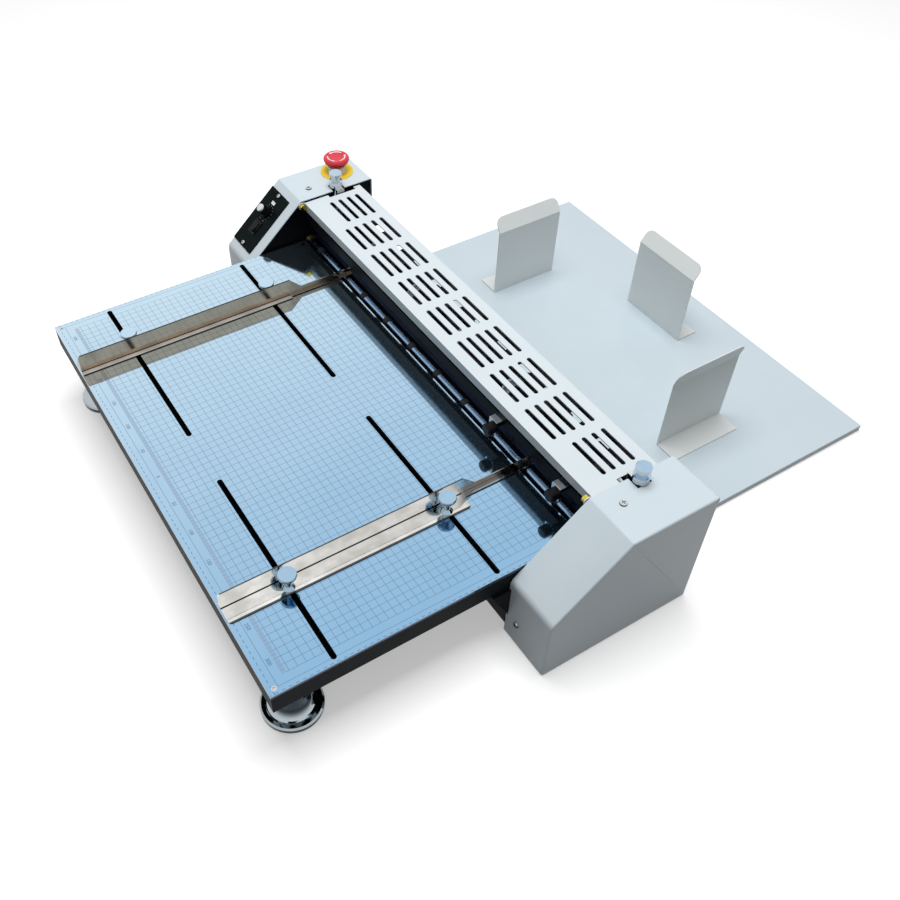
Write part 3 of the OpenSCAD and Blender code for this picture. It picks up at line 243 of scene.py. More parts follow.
def rolled_sheet(name, colours, roughness=(0.05, 0.13)):
    """Polished stainless sheet: long faint lines along its length and cloudy warm reflections."""
    material, tree, shader = new_material(name, Metallic=1.0)
    clouds = grain(tree, 20, detail=4, scale=(1, 0.7, 1))
    lines = grain(tree, 0.6, detail=2, scale=(1, 0.02, 1))
    share = maths(tree, "MULTIPLY_ADD", clouds, CLOUD_SHARE, maths(tree, "MULTIPLY", lines, 1 - CLOUD_SHARE))
    vary(tree, shader, spread(tree, share, 0, 1, CLOUDS_FROM, CLOUDS_TO, True), colours, roughness)
    set_bump(tree, shader, lines, depth_mm=0.001, strength=0.1)
    return material


# The folded guides, in millimetres: lift off the board, sheet, lip and flange as in the CAD, then the painted
# shade lines along folds and edges
GUIDE_LIFT = 0.3
GUIDE_SHEET = 1.2
GUIDE_LIP = 8
GUIDE_FLANGE = 24
GUIDE_LENGTH = 314
GUIDE_GREYING = 0.16
NOSE_BEFORE, NOSE_AFTER = 6, 4
FOLD_LINE = 1.1
TOP_LINE = 0.9
FLANGE_LINE = 1.8
LIP_LINE = 0.25
REACH_FINE, REACH, REACH_WIDE = 0.1, 0.2, 0.3
LIP_UNDER = 0.4
SHADE_LINE_DEPTH = 0.88
LIP_HIGHLIGHT_METAL = 0.25


def guide_lines(tree, apart, near, top):
    """Two masks of a folded guide: dark painted shade lines along its folds and edges, and its lip beside the
    paper, which is painted pale as a highlight.
    """
    side = maths(tree, "ABSOLUTE", apart.outputs["X"])
    up = apart.outputs["Z"]
    flange_top = board_high.z + GUIDE_LIFT + GUIDE_SHEET
    fold_side = near + GUIDE_LIP
    wall = fold_side + GUIDE_SHEET
    far = fold_side + GUIDE_FLANGE
    beside_wall = both(tree, inside(tree, side, wall - REACH, wall + FOLD_LINE),
                       inside(tree, up, flange_top - BEYOND, flange_top + REACH_WIDE))
    low_on_wall = both(tree, inside(tree, side, wall - REACH, wall + REACH_WIDE),
                       inside(tree, up, flange_top - BEYOND, flange_top + FOLD_LINE))
    on_lip = both(tree, inside(tree, side, near - BEYOND, fold_side + REACH_FINE),
                  inside(tree, up, flange_top - REACH_FINE, flange_top + REACH),
                  inside(tree, side, fold_side - FOLD_LINE, fold_side + REACH_FINE))
    lip = both(tree, inside(tree, up, flange_top - LIP_UNDER, flange_top + REACH_WIDE),
               inside(tree, side, near, fold_side - FOLD_LINE))
    edges = any_of(tree, inside(tree, up, top - TOP_LINE, top + BEYOND),
                   inside(tree, side, far - FLANGE_LINE, far + BEYOND),
                   inside(tree, side, near - BEYOND, near + LIP_LINE))
    lines = any_of(tree, any_of(tree, beside_wall, low_on_wall, on_lip), edges)
    return maths(tree, "MULTIPLY", lines, SHADE_LINE_DEPTH), lip


def guide_sheet(name, node, colours, wall_reflection_colours, wall_roughness, nose_reflection_share):
    """The same sheet as a folded guide: a rougher wall whose colour is a painted reflection, greyer towards
    the nose, the nose darkened as a painted reflection, the lip pale as a painted highlight, and painted
    shade lines along folds and edges.
    """
    material = rolled_sheet(name, colours)
    tree = material.node_tree
    shader = tree.nodes["Principled BSDF"]
    low, high = place_of(node)
    upright = upright_share(tree)
    # Painted reflection: the upright walls take their own colour
    painted_wall_reflection = blend_colours(tree, grain(tree, 24, detail=3), *map(linear, wall_reflection_colours))
    paint_over(tree, shader, upright, painted_wall_reflection)
    polished = shader.inputs["Roughness"].links[0].from_socket
    tree.links.new(maths(tree, "MULTIPLY_ADD", upright, wall_roughness, polished), shader.inputs["Roughness"])
    apart = add(tree, "ShaderNodeSeparateXYZ", {0: position_mm(tree)})
    along = apart.outputs["Y"]
    nose_from = low.y + GUIDE_LENGTH
    # The sheet turns greyer towards the nose
    paint_over(tree, shader, spread(tree, along, 0, GUIDE_GREYING, low.y, nose_from), linear("#7E7870"))
    # Painted reflection: the nose darkens where it runs in under the cover
    nose = spread(tree, along, 0, nose_reflection_share, nose_from - NOSE_BEFORE, nose_from + NOSE_AFTER)
    paint_over(tree, shader, nose, linear("#2E2A27"))
    lines, lip = guide_lines(tree, apart, min(abs(low.x), abs(high.x)), high.z)
    # Painted highlight: the lip is made mostly non-metallic so it shows pale
    tree.links.new(spread(tree, lip, 1, LIP_HIGHLIGHT_METAL), shader.inputs["Metallic"])
    # Painted shade: dark lines along the folds and edges
    paint_over(tree, shader, lines, linear("#15171A"))
    return material


def turned_metal(name, colours, roughness=(0.18, 0.32)):
    """Turned or ground bar: rings across its length, half bright."""
    material, tree, shader = new_material(name, Metallic=1.0)
    rings = grain(tree, 0.7, detail=2, scale=(1, 0.05, 0.05))
    vary(tree, shader, rings, colours, roughness)
    set_bump(tree, shader, rings, depth_mm=0.01, strength=0.5)
    return material


def moulded(name, colours, roughness=(0.32, 0.42), texture_mm=0.5, depth_mm=0.01, sheen=0.5):
    """Injection moulded ABS: one body colour under a fine spark texture."""
    material, tree, shader = new_material(name, IOR=1.53, Specular_IOR_Level=sheen)
    vary(tree, shader, grain(tree, 20), colours, roughness)
    set_bump(tree, shader, grain(tree, texture_mm), depth_mm=depth_mm, strength=0.5)
    return material


def nitrile_rubber():
    """Black nitrile rubber: matt, grey where it is dusty."""
    material, tree, shader = new_material("nitrile_rubber", IOR=1.52)
    vary(tree, shader, grain(tree, 9, detail=4), ("#141518", "#1F2024"), (0.6, 0.8))
    set_bump(tree, shader, grain(tree, 0.6), depth_mm=0.02, strength=0.6)
    return material


def printed_film():
    """Screen-printed polycarbonate panel film: a dark green-grey with a soft sheen."""
    material, tree, shader = new_material("printed_polycarbonate_film", IOR=1.58, Specular_IOR_Level=0.03)
    vary(tree, shader, grain(tree, 30), ("#050E0F", "#0A1617"), (0.34, 0.46))
    set_bump(tree, shader, grain(tree, 0.45), depth_mm=0.008, strength=0.5)
    return material


STATION_PITCH_MM = 115


def ring_and_grip():
    """Steel rings at every station and black rubber grips halfway between them."""
    material, tree, shader = new_material("ground_steel_and_rubber", Roughness=0.35)
    along = add(tree, "ShaderNodeSeparateXYZ", {0: position_mm(tree)}).outputs["X"]
    away = maths(tree, "PINGPONG", along, STATION_PITCH_MM / 2)
    rubber = spread(tree, away, 0, 1, STATION_PITCH_MM / 4, STATION_PITCH_MM / 4 + 1)
    rings = grain(tree, 0.7, detail=2, scale=(1, 0.05, 0.05))
    steel = blend_colours(tree, rings, linear("#A9ABAD"), linear("#C9CBCD"))
    tree.links.new(blend_colours(tree, rubber, steel, linear("#17181B")), shader.inputs["Base Color"])
    tree.links.new(spread(tree, rubber, 1, 0), shader.inputs["Metallic"])
    return material


BOARD_POST_MM = 8
BOARD_SHEET_MM = 1.6


def circuit_board():
    """Glass-fibre circuit board: green mask on the plate, and one dark grey on everything around it."""
    material, tree, shader = new_material("circuit_board", IOR=1.5)
    side = add(tree, "ShaderNodeSeparateXYZ", {0: position_mm(tree)}).outputs["X"]
    low, high = place_of("power_board")
    plate = maths(tree, "COMPARE", side, high.x - BOARD_POST_MM - BOARD_SHEET_MM / 2, BOARD_SHEET_MM / 2)
    mottled = blend_colours(tree, grain(tree, 3, detail=4), linear("#10472E"), linear("#1C6A44"))
    tree.links.new(blend_colours(tree, plate, linear("#23252E"), mottled), shader.inputs["Base Color"])
    return material


# The board's print, all distances in millimetres on the real board

GRID_MM = 10
GRID_HALF_WIDTH = 320
GRID_LINE_HALF = 0.26
GRID_OFFSET = 0.9
BAND_FROM, BAND_TO = 22.5, 27.7
BORDER_IN = 12.5
BORDER_SIDE = 330.6
DASH_IN = 5.5
DASH_SIDE = 336.6
DASH_MM = 4
DASH_HALF = 0.4
TICK_HALF = 0.3
BACK_MARGIN = 6
# Half-width in millimetres of the painted light gradient: the print paler to the left and bluer to the right
LIGHT_GRADIENT_HALF = 322
BAND_SHARE = 0.45
INK_SHARE = 0.7
SHEET_METAL, INK_METAL = 0.985, 0.96
SHEET_ROUGHNESS, INK_ROUGHNESS = 0.07, 0.12


def line_at(tree, value, place, half=GRID_LINE_HALF):
    """1 on a printed line, half its width either side of place."""
    return inside(tree, value, place - half, place + half)


def printed_board():
    """Polished sheet printed pale blue under lacquer: it mirrors what stands on it, and its ink is duller; a
    painted light gradient makes it paler to the left and bluer to the right, and its upright edges are
    painted dark as shade.
    """
    material, tree, shader = new_material("printed_polished_board", Coat_Weight=0.5, Coat_Roughness=0.04)
    apart = add(tree, "ShaderNodeSeparateXYZ", {0: position_mm(tree)})
    side = maths(tree, "ABSOLUTE", apart.outputs["X"])
    deep = maths(tree, "SUBTRACT", apart.outputs["Y"], board_low.y)
    length = board_high.y - board_low.y
    across = maths(tree, "PINGPONG", apart.outputs["X"], GRID_MM / 2)
    along = maths(tree, "PINGPONG", maths(tree, "SUBTRACT", deep, GRID_OFFSET), GRID_MM / 2)
    field = both(tree, inside(tree, side, -BEYOND, GRID_HALF_WIDTH + GRID_LINE_HALF),
                 inside(tree, deep, BAND_TO, length - BACK_MARGIN))
    cells = any_of(tree, inside(tree, across, -BEYOND, GRID_LINE_HALF),
                   inside(tree, along, -BEYOND, GRID_LINE_HALF))
    grid = both(tree, field, cells)
    border = any_of(tree, both(tree, line_at(tree, side, BORDER_SIDE), inside(tree, deep, BORDER_IN, length)),
                    both(tree, line_at(tree, deep, BORDER_IN), inside(tree, side, -BEYOND, BORDER_SIDE)))
    dash_x = inside(tree, maths(tree, "PINGPONG", apart.outputs["X"], DASH_MM), -BEYOND, DASH_MM / 2)
    dash_y = inside(tree, maths(tree, "PINGPONG", deep, DASH_MM), -BEYOND, DASH_MM / 2)
    dashes = any_of(tree, both(tree, line_at(tree, side, DASH_SIDE, DASH_HALF), dash_y),
                    both(tree, line_at(tree, deep, DASH_IN, DASH_HALF), dash_x))
    ticks = inside(tree, maths(tree, "PINGPONG", apart.outputs["X"], GRID_MM / 4), -BEYOND, TICK_HALF)
    band = both(tree, inside(tree, deep, BAND_FROM, BAND_TO), inside(tree, side, -BEYOND, GRID_HALF_WIDTH))
    ruler = maths(tree, "MULTIPLY", both(tree, band, ticks), BAND_SHARE)
    ink = any_of(tree, grid, border, dashes, ruler)
    cloudy = grain(tree, 90, detail=3)
    # Painted light: the print runs from paler on the left to bluer on the right
    left_print = blend_colours(tree, cloudy, linear("#BFDBEF"), linear("#CBE4F3"))
    right_print = blend_colours(tree, cloudy, linear("#88B4D6"), linear("#94BFE1"))
    painted_light_gradient = spread(tree, apart.outputs["X"], 0, 1, -LIGHT_GRADIENT_HALF, LIGHT_GRADIENT_HALF)
    mottled = blend_colours(tree, painted_light_gradient, left_print, right_print)
    ground = blend_colours(tree, maths(tree, "MULTIPLY", band, BAND_SHARE), mottled, linear("#8C9CB6"))
    inked = blend_colours(tree, maths(tree, "MULTIPLY", ink, INK_SHARE), ground, linear("#3C5B78"))
    # Painted shade: the board's upright edges are dark navy
    painted_edge_shade = blend_colours(tree, upright_share(tree), inked, linear("#2E3D55"))
    tree.links.new(painted_edge_shade, shader.inputs["Base Color"])
    tree.links.new(spread(tree, ink, SHEET_METAL, INK_METAL), shader.inputs["Metallic"])
    tree.links.new(spread(tree, ink, SHEET_ROUGHNESS, INK_ROUGHNESS), shader.inputs["Roughness"])
    return material


HANDLED_NICKEL = (0.06, 0.14)
finishes = {
    # Powder coats: cool pale casings and tray, a paler cover, stops that are nearly white
    "casing_paint": powder_coat("casing_powder_coat", ("#D3E2EA", "#DCE8EF")),
    "cover_paint": powder_coat("cover_powder_coat", ("#DDE9EF", "#E4EDF2")),
    "tray_paint": powder_coat("tray_powder_coat", ("#D2E1EA", "#DAE7EF")),
    "stop_paint": powder_coat("stop_powder_coat", ("#EAF0EF", "#F0F4F3")),
    # Enamels: frames and pan stay black beside the white, the bridge plate is blue-black
    "black_paint": satin_paint("black_enamel", ("#080A0D", "#0E1115"), sheen=0.08),
    "navy_paint": satin_paint("navy_enamel", ("#18223A", "#222F4B"), (0.3, 0.42)),
    "motor_black": satin_paint("motor_lacquer", ("#1C1D20", "#26272A")),
    "board_print": printed_board(),
    # Plate and bare metals: mirrors tinted blue with darker upright sides, both a painted reflection, warm
    # sheet, grey bars, brown bushes and yellow pins
    "bright_chrome": plated("bright_chrome_plate", ("#B9C4CC", "#C8D2D9"), side="#7B868D"),
    "nickel_plate": plated("bright_nickel_plate", ("#9CBDD6", "#AACBE2"), HANDLED_NICKEL, "#8B979F"),
    "polished_steel": rolled_sheet("polished_stainless_sheet", ("#C2BDB7", "#DDDAD6")),
    "spring_steel": rolled_sheet("spring_steel_strip", ("#A9ABAD", "#D5D6D8")),
    "ground_steel": turned_metal("ground_steel", ("#A3A6A9", "#C8CACC")),
    "bronze": turned_metal("sintered_bronze", ("#8E6A3C", "#B58B52"), (0.35, 0.5)),
    "brass": turned_metal("turned_brass", ("#CDB13A", "#E6CE54"), (0.14, 0.24)),
    # Rubber, film and mouldings: matt rings and feet, a dim panel, clear colours on the stop button
    "black_rubber": nitrile_rubber(),
    "black_plastic": moulded("black_abs", ("#090A0C", "#101114"), sheen=0.14),
    "panel_film": printed_film(),
    "grey_plastic": moulded("pale_grey_abs", ("#E6E8EA", "#EFF1F2")),
    "blue_plastic": moulded("blue_abs", ("#24417F", "#2C4C90")),
    "yellow_plastic": moulded("yellow_abs", ("#FFD91A", "#FFE22E"), (0.28, 0.36), sheen=0.25),
    "red_plastic": moulded("red_abs", ("#DC1534", "#E8243F"), (0.18, 0.26)),
    "board_green": circuit_board(),
}
ring_finish = ring_and_grip()
special_finishes = {
    "crease_wheels": ring_finish,
    "anvil_collars": ring_finish,
    # Hard chrome in the shade behind the table: a bar without sharp reflections, its dark blue-grey colour
    # painted shade and a painted blue reflection
    "feed_shaft": plated("hard_chrome_roller", ("#7896B8", "#8CAACB"), (0.2, 0.3)),
    # Steel coloured near black as painted shade, so it stays dark behind the cover's slots
    "upper_tool_shaft": turned_metal("shade_darkened_steel", ("#1C1E21", "#2B2E32"), (0.3, 0.45)),
    # Zinc on strip: pale and a little hazy beside the mirror of the knobs, its upright faces darker as a
    # painted reflection
    "pressure_brackets": plated("bright_zinc_strap", ("#D6D6D2", "#E6E6E2"), (0.14, 0.24), "#9A9FA2"),
    # Nickel knobs on the casings: cool blue tops over pale sides, both a painted reflection, the right one a
    # little deeper
    "left_pressure_knob": plated("polished_nickel_pressure", ("#B4CBDD", "#C2D6E4"), HANDLED_NICKEL,
                                 "#C6CBCE"),
    "right_pressure_knob": plated("polished_nickel_pressure_right", ("#A2C0D8", "#B0CCE0"), HANDLED_NICKEL,
                                  "#C6CBCE"),
    # Nickel knobs over the board's bright side: pale blue tops over grey sides, both a painted reflection
    "left_front_knob": plated("polished_nickel_knob", ("#BEDAED", "#CAE2F2"), HANDLED_NICKEL, "#7A868F"),
    "left_rear_knob": plated("polished_nickel_knob_rear", ("#BEDAED", "#CAE2F2"), HANDLED_NICKEL, "#7A868F"),
    # Stainless guides: the walls' colours are a painted reflection, warm and dull on the left, nearly white
    # and clear on the right
    "left_guide": guide_sheet("warm_reflection_stainless_guide", "left_guide", ("#B6B8B5", "#D6D7D3"),
                              wall_reflection_colours=("#AA947E", "#D0B79E"), wall_roughness=0.12, nose_reflection_share=0.3),
    "right_guide": guide_sheet("polished_stainless_guide", "right_guide", ("#DCDAD5", "#FFFFFE"),
                               wall_reflection_colours=("#E2E2E0", "#FCFCFB"), wall_roughness=0.02, nose_reflection_share=0.55),
    "table_pan": pan_enamel(),
    # Chromed feet: a bright flared base under a tube whose upright faces are dark, a painted reflection of
    # the table's underside
    "table_feet": plated("chromed_foot", ("#A9B4BB", "#BAC4CA"), side="#3F484D"),
}
# Finishes of the pieces that this file makes
white_ink = moulded("white_ink", ("#E9EEF2", "#F4F6F8"))
gold_ink = moulded("gold_ink", ("#8F8765", "#9E9674"))
dark_ink = moulded("dark_ruler_ink", ("#43607C", "#4C6A88"))
white_cap = moulded("white_abs_cap", ("#E6EBF0", "#F2F5F8"), (0.24, 0.34))
# Zinc screw heads whose upright sides are darkened as a painted reflection
screw_zinc = plated("bright_zinc_plate", ("#C9CCD0", "#E0E2E4"), (0.12, 0.22), "#3A4046")

for name, piece in nodes.items():
    chosen = special_finishes.get(name) or finishes[slot_of[name]]
    for slot in piece.material_slots:
        slot.material = chosen
    if not piece.material_slots:
        piece.data.materials.append(chosen)


# Small edge rounds of the sheets and of the rocker's mouldings

EDGE_ROUNDS_MM = {
    "left_casing": 0.4, "right_casing": 0.4, "top_cover": 0.6, "delivery_tray": 0.6, "table_pan": 0.6,
    "left_guide": 0.3, "right_guide": 0.3, "left_stop": 0.35, "right_stop": 0.35, "end_stop": 0.35,
    "control_panel": 0.3, "rocker_frame": 0.3, "rocker": 0.3, "exit_guard": 0.3,
}
OUTER_ROUND_MM = 2.6
LOW_RIM_MM = 3
OUTER_SIDES = ("left_casing", "right_casing")
SIDE_SLACK_MM = 0.01
WELD_MM = 0.002
SHARP_FROM = math.radians(40)


def mark_outer_edges(piece, side, low_rim):
    """A live modifier that marks the sharp edges lying on the piece's outer side for the larger round."""
    tree = bpy.data.node_groups.new(f"{piece.name}_outer_edges", "GeometryNodeTree")
    tree.interface.new_socket("Geometry", in_out="INPUT", socket_type="NodeSocketGeometry")
    tree.interface.new_socket("Geometry", in_out="OUTPUT", socket_type="NodeSocketGeometry")
    given = add(tree, "NodeGroupInput").outputs[0]
    place = add(tree, "GeometryNodeInputPosition").outputs[0]
    apart = add(tree, "ShaderNodeSeparateXYZ", {0: place})
    at_side = maths(tree, "GREATER_THAN", maths(tree, "ABSOLUTE", apart.outputs["X"]), side)
    outside = maths(tree, "MULTIPLY", at_side, maths(tree, "GREATER_THAN", apart.outputs["Z"], low_rim))
    angle = add(tree, "GeometryNodeInputMeshEdgeAngle").outputs[0]
    sharp = maths(tree, "GREATER_THAN", angle, SHARP_FROM)
    weight = maths(tree, "MULTIPLY", outside, sharp)
    marked = add(tree, "GeometryNodeStoreNamedAttribute",
                 {"Geometry": given, "Name": "bevel_weight_edge", "Value": weight},
                 data_type="FLOAT", domain="EDGE")
    add(tree, "NodeGroupOutput", {0: marked.outputs[0]})
    marks = piece.modifiers.new("outer_edges", "NODES")
    marks.node_group = tree


def round_edges(piece, name, radius, method):
    """A live bevel, radius in millimetres, on the edges that the method picks."""
    rounds = piece.modifiers.new(name, "BEVEL")
    rounds.width = radius * MM
    rounds.segments = 3 if method == "WEIGHT" else 2
    rounds.limit_method = method
    rounds.angle_limit = SHARP_FROM
    rounds.harden_normals = False
    rounds.use_clamp_overlap = method == "ANGLE"


for name, radius in EDGE_ROUNDS_MM.items():
    weld = nodes[name].modifiers.new("joined", "WELD")
    weld.merge_threshold = WELD_MM * MM
    if name in OUTER_SIDES:
        low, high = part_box(name)
        outer_side = max(abs(low[0]), abs(high[0])) - SIDE_SLACK_MM * MM
        mark_outer_edges(nodes[name], outer_side, low[2] + LOW_RIM_MM * MM)
        round_edges(nodes[name], "outer_round", OUTER_ROUND_MM, "WEIGHT")
    round_edges(nodes[name], "edge_round", radius, "ANGLE")


# Making pieces

ROUND_SIDES = 40
TOP_FROM = 0.9
SMOOTH_DEG = 35


def deselect():
    """Object mode with nothing selected."""
    if bpy.context.object and bpy.context.object.mode != "OBJECT":
        bpy.ops.object.mode_set(mode="OBJECT")
    bpy.ops.object.select_all(action="DESELECT")


def pick(piece):
    """Only this piece selected, and active."""
    deselect()
    piece.select_set(True)
    bpy.context.view_layer.objects.active = piece


def edit_faces(piece, test):
    """Edit mode with the faces selected whose middle and normal pass the test, in metres."""
    bpy.ops.object.mode_set(mode="OBJECT")
    for face in piece.data.polygons:
        face.select = test(face.center, face.normal)
    for edge in piece.data.edges:
        edge.select = False
    for vertex in piece.data.vertices:
        vertex.select = False
    for face in piece.data.polygons:
        if face.select:
            for vertex in face.vertices:
                piece.data.vertices[vertex].select = True
    bpy.ops.object.mode_set(mode="EDIT")
    bpy.ops.mesh.select_mode(type="FACE")


def on_top(centre, normal):
    """Test for edit_faces: faces that look upwards."""
    return normal.z > TOP_FROM


def settle(piece, name, body, finish, place=None):
    """Puts the piece's place in its mesh, gives it its name and finish, and lets it ride on its body."""
    if piece.mode != "OBJECT":
        bpy.ops.object.mode_set(mode="OBJECT")
    if place is not None:
        piece.matrix_world = place @ piece.matrix_world
    bpy.context.view_layer.update()
    pick(piece)
    bpy.ops.object.transform_apply(location=True, rotation=True, scale=True)
    piece.name = name
    piece.data.materials.clear()
    piece.data.materials.append(finish)
    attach(piece, body)
    return piece


def join(pieces):
    """All pieces as one mesh, in the first of them."""
    deselect()
    for piece in pieces:
        piece.select_set(True)
    bpy.context.view_layer.objects.active = pieces[0]
    bpy.ops.object.join()
    return pieces[0]


def cut_away(piece, cutter):
    """Cuts the cutter's shape out of the piece."""
    cut = piece.modifiers.new("cut", "BOOLEAN")
    cut.object = cutter
    cut.operation = "DIFFERENCE"
    cut.solver = "EXACT"
    pick(piece)
    bpy.ops.object.modifier_apply(modifier="cut")
    bpy.data.objects.remove(cutter)


def smooth(piece):
    """Smooth shading with creases at the sharp edges."""
    pick(piece)
    bpy.ops.object.shade_smooth_by_angle(angle=math.radians(SMOOTH_DEG))


# Screw heads with a cross recess: places and sizes in millimetres, recesses as shares of the head

TOP_SCREW_SIDE = 25.3
LOW_SCREW_SIDE = 19.8
TOP_SCREW_Y = -40.3
LOW_SCREW_Z = 37
REAR_SCREW_Z = 130
SCREW_HEAD_MM = (9, 2.2)
SMALL_HEAD_MM = (6.5, 1.6)
SMALL_SHANK_MM = 3
TABLE_SCREW_IN = 8
PANEL_SCREW_IN = 5
DOME_SHARE = 0.55
RECESS_LONG = 0.56
RECESS_WIDE = 0.16
RECESS_DEEP = 0.9
SUNK_RECESS_WIDE = 0.2
SUNK_BAR_MM = 1.2
SUNK_RIM_MM = 0.25


def cut_cross(head, length, width, thickness, height=0.0):
    """Cuts two crossed bars into the head; their middles lie at the given height."""
    for turn in (0, 90):
        deselect()
        bpy.ops.mesh.primitive_cube_add(size=1, location=(0, 0, height * MM),
                                        rotation=(0, 0, math.radians(turn)))
        bar = bpy.context.object
        bar.scale = (length * MM, width * MM, thickness * MM)
        cut_away(head, bar)


def screw_head(diameter, height):
    """A pan head standing on z = 0, domed, with a cross cut into its top."""
    deselect()
    bpy.ops.mesh.primitive_cylinder_add(vertices=ROUND_SIDES, radius=diameter / 2 * MM, depth=height * MM,
                                        location=(0, 0, height / 2 * MM))
    head = bpy.context.object
    edit_faces(head, on_top)
    bpy.ops.mesh.bevel(offset=height * DOME_SHARE * MM, segments=4, affect="EDGES")
    bpy.ops.object.mode_set(mode="OBJECT")
    cut_cross(head, diameter * RECESS_LONG, diameter * RECESS_WIDE, height * RECESS_DEEP, height)
    smooth(head)
    return head


def sunk_head(diameter, shank):
    """A countersunk head with its top just under z = 0 and a cross cut into it."""
    depth = (diameter - shank) / 2
    deselect()
    bpy.ops.mesh.primitive_cone_add(vertices=ROUND_SIDES, radius1=shank / 2 * MM, radius2=diameter / 2 * MM,
                                    depth=depth * MM, location=(0, 0, -depth / 2 * MM))
    head = bpy.context.object
    edit_faces(head, on_top)
    bpy.ops.mesh.inset(thickness=SUNK_RIM_MM * MM, depth=0)
    bpy.ops.object.mode_set(mode="OBJECT")
    cut_cross(head, diameter * RECESS_LONG, diameter * SUNK_RECESS_WIDE, SUNK_BAR_MM)
    smooth(head)
    return head


def screw_places():
    """Where each screw head sits and which way it points, from the casings' own corners."""
    left, right = place_of("left_casing"), place_of("right_casing")
    top = right[1].z
    top_x = right[0].x + TOP_SCREW_SIDE
    low_x = right[0].x + LOW_SCREW_SIDE
    front, back = right[0].y, right[1].y
    upright = Matrix.Identity(4)
    forward = Matrix.Rotation(math.radians(90), 4, "X")
    backward = Matrix.Rotation(math.radians(-90), 4, "X")
    for side in (-1, 1):
        yield (side * top_x, TOP_SCREW_Y, top), upright
        yield (side * low_x, front, LOW_SCREW_Z), forward
        yield (side * low_x, back, REAR_SCREW_Z), backward


# The casings' slope, taken from its foot, and the panel on it, with the thickness and middle of its print
SLOPE_RISE, SLOPE_RUN = 84.8, 97.5
SLOPE = math.atan2(SLOPE_RISE, SLOPE_RUN)
SLOPE_FOOT = Vector((0, -164, 100.5))
PANEL_X = (panel_low.x + panel_high.x) / 2
PANEL_START = 16.5
PANEL_LENGTH = 99
PANEL_SHEET = 1.5
INK_MM = 0.05
INK_MIDDLE = PANEL_SHEET + INK_MM / 2


def on_slope(x, up, proud=0.0, turn=0.0):
    """The matrix that lays a piece on the casing's slope, up mm from its foot and proud mm off it."""
    place = SLOPE_FOOT + Vector((x, up * math.cos(SLOPE) - proud * math.sin(SLOPE),
                                 up * math.sin(SLOPE) + proud * math.cos(SLOPE)))
    lean = Matrix.Rotation(SLOPE, 4, "X") @ Matrix.Rotation(turn, 4, "Z")
    return Matrix.Translation(place * MM) @ lean


def copy_to(piece, place):
    """A copy of the piece with a mesh of its own, moved by place."""
    twin = piece.copy()
    twin.data = piece.data.copy()
    bpy.context.collection.objects.link(twin)
    twin.matrix_world = place @ piece.matrix_world
    return twin


def make_screw_heads():
    """Six casing screws, two in the panel and four sunk in the board, for the CAD's plain screws."""
    pattern = screw_head(*SCREW_HEAD_MM)
    heads = []
    for where, turn in screw_places():
        heads.append(copy_to(pattern, Matrix.Translation(Vector(where) * MM) @ turn))
    small = screw_head(*SMALL_HEAD_MM)
    for up in (PANEL_START + PANEL_SCREW_IN, PANEL_START + PANEL_LENGTH - PANEL_SCREW_IN):
        heads.append(copy_to(small, on_slope(PANEL_X, up, PANEL_SHEET)))
    flat = sunk_head(SMALL_HEAD_MM[0], SMALL_SHANK_MM)
    for x in (board_low.x + TABLE_SCREW_IN, board_high.x - TABLE_SCREW_IN):
        for y in (board_low.y + TABLE_SCREW_IN, board_high.y - TABLE_SCREW_IN):
            heads.append(copy_to(flat, Matrix.Translation(Vector((x, y, board_high.z)) * MM)))
    for spare in (pattern, small, flat):
        bpy.data.objects.remove(spare)
    bpy.context.view_layer.update()
    done = settle(join(heads), "screw_heads", "machine", screw_zinc)
    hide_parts("screws")


# Numbers on the front ruler

NUMBER_STEP = 50
NUMBER_LAST = 300
NUMBER_SIZE = 4.6
TYPE_PER_DIGIT = 1.4
NUMBER_IN = 17


def make_ruler_numbers():
    """Plain numbers, counted both ways from the middle, printed between the border and the ruler."""
    made = []
    for x in range(-NUMBER_LAST, NUMBER_LAST + 1, NUMBER_STEP):
        deselect()
        bpy.ops.object.text_add(location=(x * MM, (board_low.y + NUMBER_IN) * MM, board_high.z * MM))
        words = bpy.context.object
        words.data.body = str(abs(x))
        words.data.size = NUMBER_SIZE * MM * TYPE_PER_DIGIT
        words.data.align_x = "CENTER"
        words.data.align_y = "CENTER"
        words.data.extrude = INK_MM / 2 * MM
        words.data.resolution_u = 3
        bpy.ops.object.convert(target="MESH")
        made.append(bpy.context.object)
    settle(join(made), "ruler_numbers", "machine", dark_ink)


# Turn marks on the stop button

ARROW_RADIUS = 13.2
ARROW_WIDTH = 1.9
ARROW_SWEEP = 70
ARROW_STEPS = 14
ARROW_TIP = 1.35
ARROWS = 3
MARK_DROP = 5


